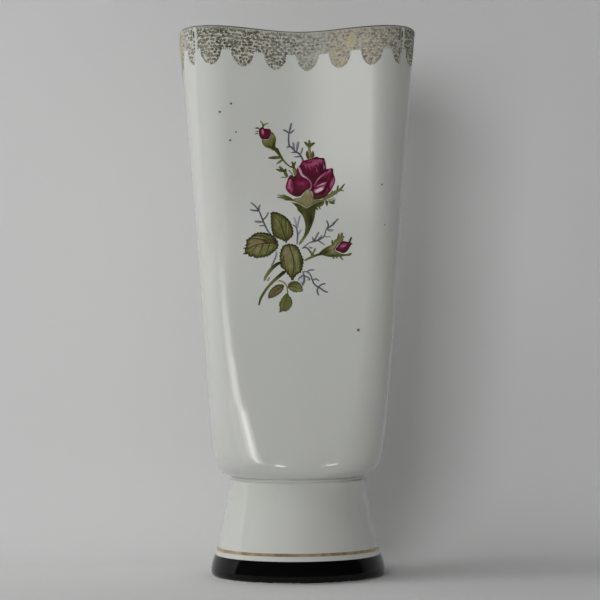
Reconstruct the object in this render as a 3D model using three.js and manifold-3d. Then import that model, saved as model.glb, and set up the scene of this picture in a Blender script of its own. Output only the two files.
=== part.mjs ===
// Porcelain flower vase, in millimetres, +Z up.
//
// A four-sided tapered vessel with a wavy rim is luted with slip onto a round, flared, hollow foot.
// Over the glaze lie the fired-on layers: a gilded lip, a gold lace band on each side, a gold line and
// a black enamel band round the foot, and a moss-rose spray in coloured enamels on the front.
//
// The origin is the centre of the ring that the foot stands on. The front, with the spray, faces -Y.

import * as THREE from 'three';
import { mergeVertices } from 'three/addons/utils/BufferGeometryUtils.js';
import Module from 'manifold-3d';

const wasm = await Module();
wasm.setup();

// ---------------------------------------------------------------- driving dimensions

const VASE_HEIGHT = 214.7;        // to the rim's corners
const RIM_DIP = 3;                // how far the rim sinks at the middle of each side
const RIM_WAVE_DEPTH = 30;        // height over which that wave fades out, down the wall
const NECK_HEIGHT = 39.8;         // underside of the vessel
const NECK_RADIUS = 27;
const WALL = 3.2;
const FLOOR = 4.5;                // thickness of the vessel's floor
const LIP_THICKNESS = 2.6;

const FOOT_TOP = 38.6;
const FOOT_WALL = 3.6;
const FOOT_RING_OUTER = 33.4;     // flat ring that the vase stands on
const FOOT_RING_INNER = 30;

const BLACK_BAND_BOTTOM = 0.4;
const BLACK_BAND_TOP = 8.7;
const GOLD_LINE_CENTRE = 11.1;
const GOLD_LINE_WIDTH = 1.2;

const FILM_GAP = 0.1;             // clearance between a fired-on layer and the piece under it
const FILM_THICKNESS = 0.2;
const MOTIF_GAP = 0.25;           // clearance between two neighbouring enamel motifs
const GILDING_END = Math.PI / 4;  // where the gilding ends, round the lip, above its sides

const LACE_TOP = 1.5;             // lace's upper edge, below the rim
const LACE_HEM = 9.1;             // lace's hem between two lobes, below the rim
const LACE_LOBE = 6;              // how far a lobe hangs below that hem
const LACE_PITCH = 12.4;
const LACE_SHIFT = 3;             // sideways place of the middle lobe
const LACE_END_GAP = 0.7;         // bare glaze between a lace band's end and the corner line

const SPRAY_HEIGHT = 138.7;       // the height that the spray's outlines are measured from

const SEGMENTS = 60;
const QUARTER_TURN = Math.PI / 2;

// Sections of the vessel, from the neck to the rim: height, half-width across the flats, corner
// radius, and roundness, which is 0 for a square with rounded corners and 1 for a circle.
const VESSEL_SECTIONS = [
  [NECK_HEIGHT, NECK_RADIUS, NECK_RADIUS, 1],
  [40.8, 29.6, 25, 0.85],
  [42.2, 31.2, 21, 0.6],
  [44.5, 32.4, 19, 0.4],
  [48, 33.2, 17.5, 0.28],
  [54, 34, 17, 0.18],
  [67, 35.1, 15.2, 0.1],
  [107, 37.8, 12, 0.06],
  [147, 40.8, 14, 0.06],
  [187, 43.9, 16, 0.08],
  [VASE_HEIGHT, 46.3, 18, 0.12],
];

// Outside of the foot, from the ring it stands on to the neck: height, radius.
const FOOT_OUTLINE = [
  [0, FOOT_RING_OUTER],
  [1, 34.2],
  [2.6, 34.5],
  [4.8, 34.2],
  [7.5, 33.4],
  [10.5, 32.3],
  [14, 31.5],
  [22, 29.8],
  [30, 28.1],
  [34, 27.4],
  [FOOT_TOP, 26.9],
];

// ---------------------------------------------------------------- colours

const PORCELAIN = { color: 0xe4e4df, roughness: 0.12, metalness: 0 };
const GOLD = { color: 0xa8843a, roughness: 0.3, metalness: 1 };
const BLACK_ENAMEL = { color: 0x0b0b0d, roughness: 0.12, metalness: 0 };
const ROSE_ENAMEL = { color: 0x8c3a5c, roughness: 0.25, metalness: 0 };
const CRIMSON_ENAMEL = { color: 0x9c2440, roughness: 0.25, metalness: 0 };
const LEAF_ENAMEL = { color: 0x4a5028, roughness: 0.25, metalness: 0 };
const MOSS_ENAMEL = { color: 0x7b7c50, roughness: 0.25, metalness: 0 };
const SLATE_ENAMEL = { color: 0x6e6e80, roughness: 0.25, metalness: 0 };

// ---------------------------------------------------------------- the vessel's surface

const vesselSection = new THREE.CubicInterpolant(
  VESSEL_SECTIONS.map(([height]) => height),
  VESSEL_SECTIONS.flatMap(([, ...section]) => section),
  3,
);

// Half-width, corner radius and roundness of the vessel at a height.
function sectionAt(height) {
  const clamped = THREE.MathUtils.clamp(height, NECK_HEIGHT, VASE_HEIGHT);
  const [halfWidth, corner, roundness] = vesselSection.evaluate(clamped);
  return { halfWidth, corner, roundness };
}

// Distance from the axis to a rounded square, in a direction measured from a side's middle.
function roundedSquareRadius(angle, halfWidth, corner) {
  const fromMiddle = Math.abs(angle - QUARTER_TURN * Math.round(angle / QUARTER_TURN));
  const flat = halfWidth - corner;
  if (halfWidth * Math.tan(fromMiddle) <= flat) {
    return halfWidth / Math.cos(fromMiddle);
  }
  const along = flat * (Math.cos(fromMiddle) + Math.sin(fromMiddle));
  return along + Math.sqrt(along ** 2 - 2 * flat ** 2 + corner ** 2);
}

// The outside radius of the vessel in a direction, at a height.
function vesselRadius(angle, height) {
  const { halfWidth, corner, roundness } = sectionAt(height);
  const square = roundedSquareRadius(angle, halfWidth, corner);
  return THREE.MathUtils.lerp(square, halfWidth, roundness);
}

// How far a point at this height sinks with the rim's wave.
function rimWave(angle, height) {
  const share = Math.max(0, 1 - (VASE_HEIGHT - height) / RIM_WAVE_DEPTH);
  return RIM_DIP * share ** 2 * (1 + Math.cos(4 * angle)) / 2;
}

// The lip's edge above a direction.
const rimHeight = (angle) => VASE_HEIGHT - rimWave(angle, VASE_HEIGHT);

// ---------------------------------------------------------------- building blocks

// Changes every vertex of a geometry with a function of its place.
function reshape(geometry, place) {
  const position = geometry.attributes.position;
  const point = new THREE.Vector3();
  for (let i = 0; i < position.count; i += 1) {
    point.fromBufferAttribute(position, i);
    place(point);
    position.setXYZ(i, point.x, point.y, point.z);
  }
  geometry.deleteAttribute('normal');
  geometry.deleteAttribute('uv');
  const welded = mergeVertices(geometry, 1e-4);
  welded.computeVertexNormals();
  return welded;
}

// A turned piece from its [radius, height] outline, +Z up.
function turned(outline) {
  const profile = outline.map(([radius, height]) => new THREE.Vector2(radius, height));
  return new THREE.LatheGeometry(profile, SEGMENTS).rotateX(Math.PI / 2);
}

// Presses a turned piece into the vessel's four-sided form and gives it the rim's wave.
function squared(geometry) {
  return reshape(geometry, (point) => {
    const angle = Math.atan2(point.x, -point.y);
    const radius = Math.hypot(point.x, point.y);
    const height = point.z - rimWave(angle, point.z);
    const share = radius / sectionAt(point.z).halfWidth;
    const pressed = share * vesselRadius(angle, height);
    point.set(pressed * Math.sin(angle), -pressed * Math.cos(angle), height);
  });
}

// A mesh with its own material.
function piece(name, geometry, finish) {
  const mesh = new THREE.Mesh(geometry, new THREE.MeshStandardMaterial(finish));
  mesh.name = name;
  return mesh;
}

// ---------------------------------------------------------------- vessel, foot and their joint

// Half-circle over the lip, at a distance from it, from the outside to the inside. Its two ends can
// stop short, by an angle.
function lipArc(distance, steps, end = 0) {
  const lipRadius = LIP_THICKNESS / 2;
  const centreHeight = VASE_HEIGHT - lipRadius;
  const radius = lipRadius + distance;
  const arc = [];
  for (let i = 0; i <= steps; i += 1) {
    const turn = THREE.MathUtils.lerp(end, Math.PI - end, i / steps);
    const side = sectionAt(centreHeight).halfWidth - lipRadius + radius * Math.cos(turn);
    arc.push([side, centreHeight + radius * Math.sin(turn)]);
  }
  return arc;
}

function vesselBody() {
  const outerHeights = [NECK_HEIGHT, 40.3, 41.2, 42.6, 44.8, 48.5, 55, 67, 107, 147, 187, 204];
  const innerHeights = [186, 146, 106, 67, 53];
  const outside = outerHeights.map((height) => [sectionAt(height).halfWidth, height]);
  const inside = innerHeights.map((height) => [sectionAt(height).halfWidth - WALL, height]);
  const floorTop = NECK_HEIGHT + FLOOR;
  return squared(turned([
    [0, NECK_HEIGHT],
    ...outside,
    ...lipArc(0, 4),
    [sectionAt(204).halfWidth - LIP_THICKNESS, 204],
    ...inside,
    [28.6, 48.8],
    [24, floorTop + 0.8],
    [14, floorTop],
    [0, floorTop],
  ]));
}

function footPedestal() {
  const outside = FOOT_OUTLINE.map(([height, radius]) => [radius, height]);
  const recessTop = FOOT_TOP - FOOT_WALL;
  return reshape(turned([
    [0, recessTop],
    [19, recessTop],
    [23, recessTop - 2.5],
    [25.6, 23],
    [27.8, 11],
    [28.6, 4],
    [FOOT_RING_INNER, 0],
    ...outside,
    [0, FOOT_TOP],
  ]), () => {});
}

// The bead of slip that joins vessel and foot, with a hollow outer face.
function neckSlipJoint() {
  const bottom = FOOT_TOP + FILM_GAP;
  const top = NECK_HEIGHT - FILM_GAP;
  const middle = (bottom + top) / 2;
  return reshape(turned([
    [19, bottom],
    [26.7, bottom],
    [26.4, middle],
    [26.9, top],
    [19, top],
    [19, bottom],
  ]), () => {});
}

// ---------------------------------------------------------------- layers round the foot and the lip

const footOutline = new THREE.LinearInterpolant(
  FOOT_OUTLINE.map(([height]) => height),
  FOOT_OUTLINE.map(([, radius]) => radius),
  1,
);

// A thin ring on the foot, between two heights, that turns where the foot's outline turns.
function footRing(bottom, top) {
  const between = FOOT_OUTLINE.map(([height]) => height)
    .filter((height) => height > bottom && height < top);
  const ringAt = (lift) => [bottom, ...between, top]
    .map((height) => [footOutline.evaluate(height)[0] + lift, height]);
  const outer = ringAt(FILM_GAP + FILM_THICKNESS);
  const inner = ringAt(FILM_GAP).reverse();
  return reshape(turned([...outer, ...inner, outer[0]]), () => {});
}

function rimGilding() {
  const outer = lipArc(FILM_GAP + FILM_THICKNESS, 2, GILDING_END);
  const inner = lipArc(FILM_GAP, 2, GILDING_END).reverse();
  return squared(turned([...outer, ...inner, outer[0]]));
}

// ---------------------------------------------------------------- lace bands

// Direction, from the side's middle, of a place this far along the section's outline.
function directionAlong(distance, height) {
  const { halfWidth, corner } = sectionAt(height);
  const flat = halfWidth - corner;
  if (Math.abs(distance) <= flat) {
    return Math.atan2(distance, halfWidth);
  }
  const turn = (Math.abs(distance) - flat) / corner;
  const across = flat + corner * Math.sin(turn);
  const outwards = flat + corner * Math.cos(turn);
  return Math.sign(distance) * Math.atan2(across, outwards);
}

// The hem's depth below the rim: round lobes hanging from a straight edge.
function laceHem(distance) {
  const phase = Math.abs(Math.cos(Math.PI * (distance - LACE_SHIFT) / LACE_PITCH));
  return LACE_HEM + LACE_LOBE * Math.sqrt(Math.max(0, 2 * phase - 1));
}

// The lace on the front: a thin scalloped sheet that follows the side from corner to corner.
function laceBand() {
  const middle = VASE_HEIGHT - LACE_HEM;
  const { halfWidth, corner } = sectionAt(middle);
  const reach = halfWidth - corner + corner * Math.PI / 4 - LACE_END_GAP;
  return reshape(new THREE.BoxGeometry(2, 1, 1, 42, 2, 1), (point) => {
    const distance = point.x * reach;
    const angle = directionAlong(distance, middle);
    const depth = THREE.MathUtils.lerp(laceHem(distance), LACE_TOP, point.y + 0.5);
    const height = rimHeight(angle) - depth;
    const lift = FILM_GAP + FILM_THICKNESS * (point.z + 0.5);
    const radius = vesselRadius(angle, height) + lift;
    point.set(radius * Math.sin(angle), -radius * Math.cos(angle), height);
  });
}

// ---------------------------------------------------------------- enamel motifs of the spray
//
// A motif is drawn flat, x to the viewer's right and y up from SPRAY_HEIGHT, one millimetre thick,
// then laid on the front with its real thickness.

const points = (...pairs) => pairs.map(([x, y]) => new THREE.Vector2(x, y));

// A solid, one millimetre thick, from a closed outline.
function plate(outline) {
  const options = { depth: 1, bevelEnabled: false, steps: 1 };
  const geometry = new THREE.ExtrudeGeometry(new THREE.Shape(outline), options);
  geometry.deleteAttribute('normal');
  geometry.deleteAttribute('uv');
  const welded = mergeVertices(geometry, 1e-4);
  return new wasm.Manifold(new wasm.Mesh({
    numProp: 3,
    vertProperties: welded.attributes.position.array,
    triVerts: new Uint32Array(welded.index.array),
  }));
}

// A rounded patch through a few points.
function patch(pairs) {
  const curve = new THREE.CatmullRomCurve3(
    pairs.map(([x, y]) => new THREE.Vector3(x, y, 0)),
    true,
    'centripetal',
  );
  return plate(curve.getPoints(pairs.length * 3).slice(0, -1));
}

// A brush stroke through a few points, from one width to another.
function stroke(pairs, startWidth, endWidth = startWidth) {
  const curve = new THREE.SplineCurve(points(...pairs));
  const count = (pairs.length - 1) * 2;
  const left = [];
  const right = [];
  for (let i = 0; i <= count; i += 1) {
    const share = i / count;
    const point = curve.getPoint(share);
    const tangent = curve.getTangent(share);
    const half = THREE.MathUtils.lerp(startWidth, endWidth, share) / 2;
    left.push(new THREE.Vector2(point.x - tangent.y * half, point.y + tangent.x * half));
    right.push(new THREE.Vector2(point.x + tangent.y * half, point.y - tangent.x * half));
  }
  return plate([...right, ...left.reverse()]);
}

// A pointed leaf from base to tip, with its greatest half-width on each side.
// Small leaves get fewer points along their edges.
function leaf([baseX, baseY], [tipX, tipY], leftWidth, rightWidth = leftWidth) {
  const along = new THREE.Vector2(tipX - baseX, tipY - baseY);
  const across = new THREE.Vector2(along.y, -along.x).normalize();
  const at = (share, side) => new THREE.Vector2(
    baseX + along.x * share + across.x * side,
    baseY + along.y * share + across.y * side,
  );
  const shares = leftWidth > 1 ? [0.12, 0.3, 0.5, 0.7, 0.88] : [0.25, 0.6];
  const swell = (share) => Math.sin(Math.PI * share ** 0.85) ** 0.8;
  const right = shares.map((share) => at(share, rightWidth * swell(share)));
  const left = shares.map((share) => at(share, -leftWidth * swell(share))).reverse();
  return plate([at(0, 0), ...right, at(1, 0), ...left]);
}

const joined = (...solids) => solids.reduce((whole, solid) => whole.add(solid));

// A motif with a rim of bare glaze round it, which its neighbours keep clear of.
function withBareRim(solid) {
  const directions = [0, 1, 2, 3, 4, 5, 6, 7].map((eighth) => eighth * Math.PI / 4);
  const copies = directions.map((turn) => (
    solid.translate([MOTIF_GAP * Math.cos(turn), MOTIF_GAP * Math.sin(turn), 0])
  ));
  return joined(solid, ...copies);
}

// A motif cut back from the places that those over it keep clear. A tip left loose is dropped.
function cutBack(solid, keptClear) {
  const left = keptClear.reduce((rest, place) => rest.subtract(place), solid);
  const bodies = left.decompose();
  return bodies.reduce((largest, body) => (body.volume() > largest.volume() ? body : largest));
}

// Lays a flat motif on the vessel's front.
function onFront(solid) {
  const { vertProperties, triVerts } = solid.getMesh();
  const geometry = new THREE.BufferGeometry();
  geometry.setAttribute('position', new THREE.BufferAttribute(vertProperties, 3));
  geometry.setIndex(new THREE.BufferAttribute(triVerts, 1));
  return reshape(geometry, (point) => {
    const height = SPRAY_HEIGHT + point.y;
    const angle = Math.atan2(point.x, sectionAt(height).halfWidth);
    const radius = vesselRadius(angle, height) + FILM_GAP + FILM_THICKNESS * point.z;
    point.set(radius * Math.sin(angle), -radius * Math.cos(angle), height);
  });
}

// A slate sprig: a thin stem with small leaves, each given by its foot and its tip.
function sprig(width, stem, leaves) {
  const twigs = leaves.map(([foot, tip]) => leaf(foot, tip, 0.55));
  return joined(stroke(stem, width), ...twigs);
}

// The spray's motifs, each over the ones after it: name, finish, flat solid.
const MOTIFS = [
  ['rose_bloom', ROSE_ENAMEL, patch([
    [-5.2, 14.2], [-4.4, 17.8], [-1.4, 20.6], [2, 23.8], [6.4, 25.3], [9.4, 24.4], [10.6, 21.4],
    [13.2, 20], [13.4, 16.6], [12.6, 13.6], [10.8, 11], [8, 9.9], [3, 10.6], [-1, 10.6], [-4, 11.8],
  ])],
  ['upper_bud_petals', CRIMSON_ENAMEL, patch([
    [-15.7, 34.6], [-13.3, 36.8], [-11, 35.2], [-11.4, 32.9], [-14.2, 32.6],
  ])],
  ['side_bud_petals', CRIMSON_ENAMEL, patch([
    [13.6, -9.4], [15.6, -6.6], [19.4, -6.9], [19, -9.4], [16.6, -11],
  ])],
  ['rose_moss_crown', MOSS_ENAMEL, joined(
    stroke([[3.6, 26.8], [3.4, 29]], 1.2, 1.6),
    leaf([3.4, 28], [1.4, 31.9], 0.9),
    leaf([3.4, 28], [3.8, 33], 0.9),
    leaf([3.4, 28], [6.4, 31.6], 0.9),
  )],
  ['rose_calyx_stem', MOSS_ENAMEL, joined(
    patch([
      [-2.6, 9], [3.2, 10.8], [9.6, 9.2], [6.2, 4.4], [4.9, 0], [2.8, -4.4], [-0.4, -7.6],
      [1.7, -3.8], [1.7, 1.2], [-1, 5.4],
    ]),
    stroke([[8, 8.4], [13.1, 10.6], [17, 14.6]], 3, 0.6),
    stroke([[-1.4, 8], [-5.4, 9.4], [-8.8, 10.8]], 2.6, 0.6),
    stroke([[8.6, 7.6], [12, 7.4], [13.8, 6.2]], 2, 0.6),
  )],
  ['upper_bud_stem', MOSS_ENAMEL, joined(
    patch([[-13, 32.2], [-10.2, 34.8], [-8.6, 31.6], [-9.2, 28.8], [-11.6, 29.6]]),
    leaf([-11, 33.2], [-12, 38.8], 0.9),
    stroke([[-9.6, 29.4], [-7.3, 25.7], [-3.4, 21.6]], 1, 0.7),
    leaf([-7, 25.2], [-12, 24.4], 0.8),
    leaf([-7, 25], [-3, 22.8], 0.6),
  )],
  ['side_bud_stem', MOSS_ENAMEL, joined(
    patch([[8, -11.4], [11.6, -7.8], [14.4, -5.4], [15.6, -8.4], [13.4, -11.4]]),
    leaf([13.6, -7], [16.9, -3.4], 0.9),
    leaf([13, -10.6], [19.9, -12], 1),
    stroke([[8.6, -11.2], [5.1, -12.5], [1.9, -13.6]], 1, 0.6),
  )],
  ['leaf_upper', LEAF_ENAMEL, leaf([-4.2, -6.6], [-11.2, 4.6], 3.6, 3.2)],
  ['leaf_left', LEAF_ENAMEL, leaf([-8.2, -7.3], [-21.6, -11.6], 4.4)],
  ['leaf_lower', LEAF_ENAMEL, leaf([-4.6, -8], [-2.9, -21.5], 4.6, 4.4)],
  ['leaflet_cluster', LEAF_ENAMEL, joined(
    stroke([[-7.6, -22], [-5.8, -22.7], [-4.8, -24], [-4.6, -26.4]], 0.7),
    leaf([-6, -22.8], [-12.3, -28.4], 1.9),
    leaf([-5.2, -23.6], [1.1, -25.2], 1.8),
    leaf([-4.7, -25.6], [-7.8, -33.8], 2.4),
  )],
  ['lower_stem', MOSS_ENAMEL, joined(
    stroke([[-5.6, -17.8], [-9.6, -21.1], [-12.5, -23.7], [-14.7, -26.9], [-16, -30.7]], 1.1, 0.6),
    leaf([-12.2, -23.4], [-14, -21.2], 0.6),
  )],
  ['sprig_top', SLATE_ENAMEL, sprig(
    0.5,
    [[0.2, 23.6], [-1.6, 27.3], [-4.2, 29.9], [-4.3, 34], [-3.3, 37]],
    [[[-4.3, 33.6], [-6.3, 36.2]], [[-3.6, 36], [-3, 38.8]], [[-4.2, 33.4], [-1.8, 35.7]],
      [[-4, 29.7], [-0.9, 31.3]], [[-3.2, 29], [-5.6, 29.2]], [[-1.6, 27.2], [1.2, 28.9]]],
  )],
  ['sprig_left', SLATE_ENAMEL, sprig(
    0.5,
    [[-12, -2.2], [-14.2, 0.9], [-15.7, 2.9], [-17.2, 6]],
    [[[-17, 5.6], [-19, 8.4]], [[-16.6, 4.8], [-15.2, 7.5]], [[-16, 3.4], [-19, 5.5]],
      [[-15.4, 2.4], [-12.1, 4.5]], [[-14.8, 1.8], [-17.5, 0.8]]],
  )],
  ['sprig_centre', SLATE_ENAMEL, sprig(
    0.5,
    [[-0.9, -6.6], [-1, -4.2], [-1.3, -1.3], [-0.6, 1.4]],
    [[[-0.8, 1], [0.2, 3.2]], [[-1, -0.2], [-3, 2.4]], [[-1.2, -2.8], [0.6, -1.8]]],
  )],
  ['sprig_right', SLATE_ENAMEL, sprig(
    0.5,
    [[1.8, -8.6], [3.5, -7.4], [5.4, -6.7], [9.3, -4.8], [10.2, -1.6], [14.7, 1.9]],
    [[[10.1, -1.8], [9.8, 1.6]], [[10, -2.4], [12.7, -2.4]], [[9, -5], [6.8, -3]],
      [[6.4, -6.3], [9.4, -7.6]], [[4.6, -7], [4.3, -5.2]]],
  )],
  ['sprig_low_left', SLATE_ENAMEL, sprig(
    0.7,
    [[-9, -14], [-9.8, -15.6], [-11.2, -17.3], [-12.6, -19.2], [-13.8, -21.4]],
    [[[-9.2, -14.4], [-8.8, -12]], [[-11.2, -17.2], [-11.4, -20.4]],
      [[-12.2, -18.8], [-14.6, -18.6]]],
  )],
  ['sprig_low_right', SLATE_ENAMEL, sprig(
    0.5,
    [[2, -18.6], [3.8, -18.9], [4.8, -21.4], [7, -24.3], [10.6, -26.2]],
    [[[3.8, -19.2], [5.6, -17.2]], [[5, -21.8], [7.6, -21.6]], [[6.4, -23.4], [10, -22.2]],
      [[6.6, -24], [6.9, -27.4]], [[4.6, -20.8], [1.6, -21.4]]],
  )],
];

// ---------------------------------------------------------------- assembly

const vase = new THREE.Group();

vase.add(piece('vessel_body', vesselBody(), PORCELAIN));
vase.add(piece('neck_slip_joint', neckSlipJoint(), PORCELAIN));
vase.add(piece('foot_pedestal', footPedestal(), PORCELAIN));
vase.add(piece('black_base_band', footRing(BLACK_BAND_BOTTOM, BLACK_BAND_TOP), BLACK_ENAMEL));
vase.add(piece('gold_foot_line', footRing(
  GOLD_LINE_CENTRE - GOLD_LINE_WIDTH / 2,
  GOLD_LINE_CENTRE + GOLD_LINE_WIDTH / 2,
), GOLD));
vase.add(piece('rim_gilding', rimGilding(), GOLD));

['front', 'right', 'back', 'left'].forEach((side, turns) => {
  const band = piece(`lace_band_${side}`, laceBand(), GOLD);
  band.rotation.z = turns * QUARTER_TURN;
  vase.add(band);
});

const spray = new THREE.Group();
const keptClear = [];
for (const [name, finish, solid] of MOTIFS) {
  spray.add(piece(name, onFront(cutBack(solid, keptClear)), finish));
  keptClear.push(withBareRim(solid));
}
vase.add(spray);

export default vase;
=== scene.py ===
"""Looks of a porcelain flower vase: glazed body, gilding, gold lace, enamel bands and a moss-rose spray."""

import math

import bpy
import numpy as np
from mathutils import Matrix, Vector
from mathutils.geometry import delaunay_2d_cdt


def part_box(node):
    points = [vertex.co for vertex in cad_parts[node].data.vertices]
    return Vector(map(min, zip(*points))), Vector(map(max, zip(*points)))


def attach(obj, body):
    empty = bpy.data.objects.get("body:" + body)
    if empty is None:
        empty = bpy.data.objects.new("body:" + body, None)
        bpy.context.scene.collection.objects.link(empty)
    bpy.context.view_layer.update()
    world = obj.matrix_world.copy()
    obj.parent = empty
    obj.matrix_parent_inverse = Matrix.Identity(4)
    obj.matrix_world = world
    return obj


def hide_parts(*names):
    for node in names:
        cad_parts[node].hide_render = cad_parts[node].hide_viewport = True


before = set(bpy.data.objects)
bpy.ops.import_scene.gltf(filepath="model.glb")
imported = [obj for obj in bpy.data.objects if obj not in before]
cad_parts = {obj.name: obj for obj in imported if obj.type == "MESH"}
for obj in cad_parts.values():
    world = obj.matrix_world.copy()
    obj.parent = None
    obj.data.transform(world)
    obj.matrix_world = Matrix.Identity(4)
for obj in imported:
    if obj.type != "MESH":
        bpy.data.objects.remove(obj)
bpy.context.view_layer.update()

MM = 0.001
QUARTER = math.pi / 2
ROUND = 2 * math.pi

# ---------------------------------------------------------------- sizes, from the frame

BODY_LOW, BODY_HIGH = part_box("vessel_body")
_, FOOT_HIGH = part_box("foot_pedestal")
JOINT_LOW, JOINT_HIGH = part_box("neck_slip_joint")
BLACK_LOW, BLACK_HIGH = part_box("black_base_band")
GOLD_LOW, GOLD_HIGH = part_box("gold_foot_line")
BLOOM_LOW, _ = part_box("rose_bloom")

NECK = BODY_LOW.z                      # underside of the vessel
TOP = BODY_HIGH.z                      # the rim's corners
HEIGHT = TOP - NECK
HALF = BODY_HIGH.x * 1.0076            # half-width at the height of the rim's corners, over the dips

RIM_DIP = 3.0 * MM
RIM_WAVE_DEPTH = 30 * MM
WALL = 3.2 * MM
FLOOR = 4.5 * MM
SHOULDER_SHARE = 0.09                  # of the height: the shoulder under the panels
THINNING_SHARE = 0.06                  # of the height: where the wall thins toward the lip
LIP_RADIUS = 1.3 * MM
FOOT_WALL = 3.6 * MM
GILDING_END = math.radians(38)         # where the gilding ends, round the lip, above its sides

BLOOM_ABOVE_ZERO = 9.9 * MM            # underside of the bloom, over the spray's zero height
SPRAY_ZERO = BLOOM_LOW.z - BLOOM_ABOVE_ZERO

# Sections of the vessel: share of its height, then of its half-width at the rim: half-width, corner
# radius, and roundness, 0 for a square with rounded corners and 1 for a circle.
SECTIONS = (
    (0.0000, 0.583, 0.583, 1.00),
    (0.0057, 0.639, 0.540, 0.85),
    (0.0137, 0.674, 0.454, 0.60),
    (0.0269, 0.700, 0.410, 0.40),
    (0.0469, 0.717, 0.378, 0.28),
    (0.0812, 0.734, 0.367, 0.18),
    (0.1555, 0.758, 0.328, 0.10),
    (0.3842, 0.816, 0.259, 0.06),
    (0.6129, 0.881, 0.302, 0.06),
    (0.8416, 0.948, 0.346, 0.08),
    (1.0000, 1.000, 0.389, 0.12),
)


def smooth_curve(places, values):
    """A smooth curve through values at places, with the mean of the two neighbouring slopes at each."""
    places, values = np.array(places, float), np.array(values, float)
    slopes = np.diff(values) / np.diff(places)
    tangents = np.concatenate(([slopes[0]], (slopes[:-1] + slopes[1:]) / 2, [slopes[-1]]))

    def curve(at):
        at = np.clip(at, places[0], places[-1])
        i = np.clip(np.searchsorted(places, at, side="right") - 1, 0, len(places) - 2)
        span = places[i + 1] - places[i]
        p = (at - places[i]) / span
        return (
            values[i] * (2 * p**3 - 3 * p**2 + 1)
            + tangents[i] * span * (p**3 - 2 * p**2 + p)
            + values[i + 1] * (3 * p**2 - 2 * p**3)
            + tangents[i + 1] * span * (p**3 - p**2)
        )

    return curve


SECTION_HEIGHTS = [NECK + HEIGHT * section[0] for section in SECTIONS]
half_width = smooth_curve(SECTION_HEIGHTS, [HALF * section[1] for section in SECTIONS])
corner_radius = smooth_curve(SECTION_HEIGHTS, [HALF * section[2] for section in SECTIONS])
roundness = smooth_curve(SECTION_HEIGHTS, [section[3] for section in SECTIONS])


def vessel_radius(angle, height):
    """Outside radius of the vessel in a direction, which is 0 at the front's middle, at a height."""
    half, corner, round_share = half_width(height), corner_radius(height), roundness(height)
    turn = np.abs(angle - QUARTER * np.round(angle / QUARTER))
    flat = half - corner
    along = flat * (np.cos(turn) + np.sin(turn))
    on_corner = along + np.sqrt(np.maximum(along**2 - 2 * flat**2 + corner**2, 0))
    square = np.where(half * np.tan(turn) <= flat, half / np.cos(turn), on_corner)
    return (1 - round_share) * square + round_share * half


def rim_wave(angle, height):
    """How far a point at this height sinks with the rim's wave."""
    share = np.maximum(0, 1 - (TOP - height) / RIM_WAVE_DEPTH)
    return RIM_DIP * share**2 * (1 + np.cos(4 * angle)) / 2


def around(angle, radius, height):
    """Points from a direction, a distance from the axis and a height."""
    angle, radius, height = np.broadcast_arrays(angle, radius, height)
    return np.stack([radius * np.sin(angle), -radius * np.cos(angle), height], axis=-1)


def pressed(angle, radius, height):
    """A turned form's point, pressed into the vessel's four-sided form with its wavy rim."""
    sunk = height - rim_wave(angle, height)
    return around(angle, radius / half_width(height) * vessel_radius(angle, sunk), sunk)


# ---------------------------------------------------------------- meshes


def new_object(name, points, faces, smooth=True):
    """A mesh object from points in metres, in the frame."""
    mesh = bpy.data.meshes.new(name)
    mesh.from_pydata([tuple(p) for p in points], [], faces)
    flags = smooth if isinstance(smooth, list) else [smooth] * len(faces)
    mesh.polygons.foreach_set("use_smooth", flags)
    mesh.update()
    piece = bpy.data.objects.new(name, mesh)
    bpy.context.scene.collection.objects.link(piece)
    return piece


def revolve(name, outline, form, steps=256):
    """Turns an outline of (radius, height) round the axis. Ends on the axis close to a point."""
    outline = np.array(outline, float)
    angles = np.arange(steps) * ROUND / steps
    points, rings = [], []
    for radius, height in outline:
        if radius < 1e-9:
            rings.append([len(points)] * steps)
            points.append((0, 0, height))
        else:
            rings.append(list(range(len(points), len(points) + steps)))
            points.extend(form(angles, radius, height))
    next_rings = rings[1:] if outline[0][0] < 1e-9 else rings[1:] + rings[:1]
    faces = []
    for low, high in zip(rings, next_rings):
        for i in range(steps):
            j = (i + 1) % steps
            corners = [low[i], low[j], high[j], high[i]]
            faces.append([c for n, c in enumerate(corners) if c not in corners[:n]])
    return new_object(name, points, faces)


def rounded(points, steps):
    """A smooth chain through a few points in the plane, evenly spaced along its length."""
    points = np.array(points, float)
    walk = np.concatenate(([0], np.cumsum(np.hypot(*np.diff(points, axis=0).T))))
    at = np.linspace(0, walk[-1], steps)
    return np.stack([smooth_curve(walk, points[:, 0])(at), smooth_curve(walk, points[:, 1])(at)], axis=1)


# ---------------------------------------------------------------- materials


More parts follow.
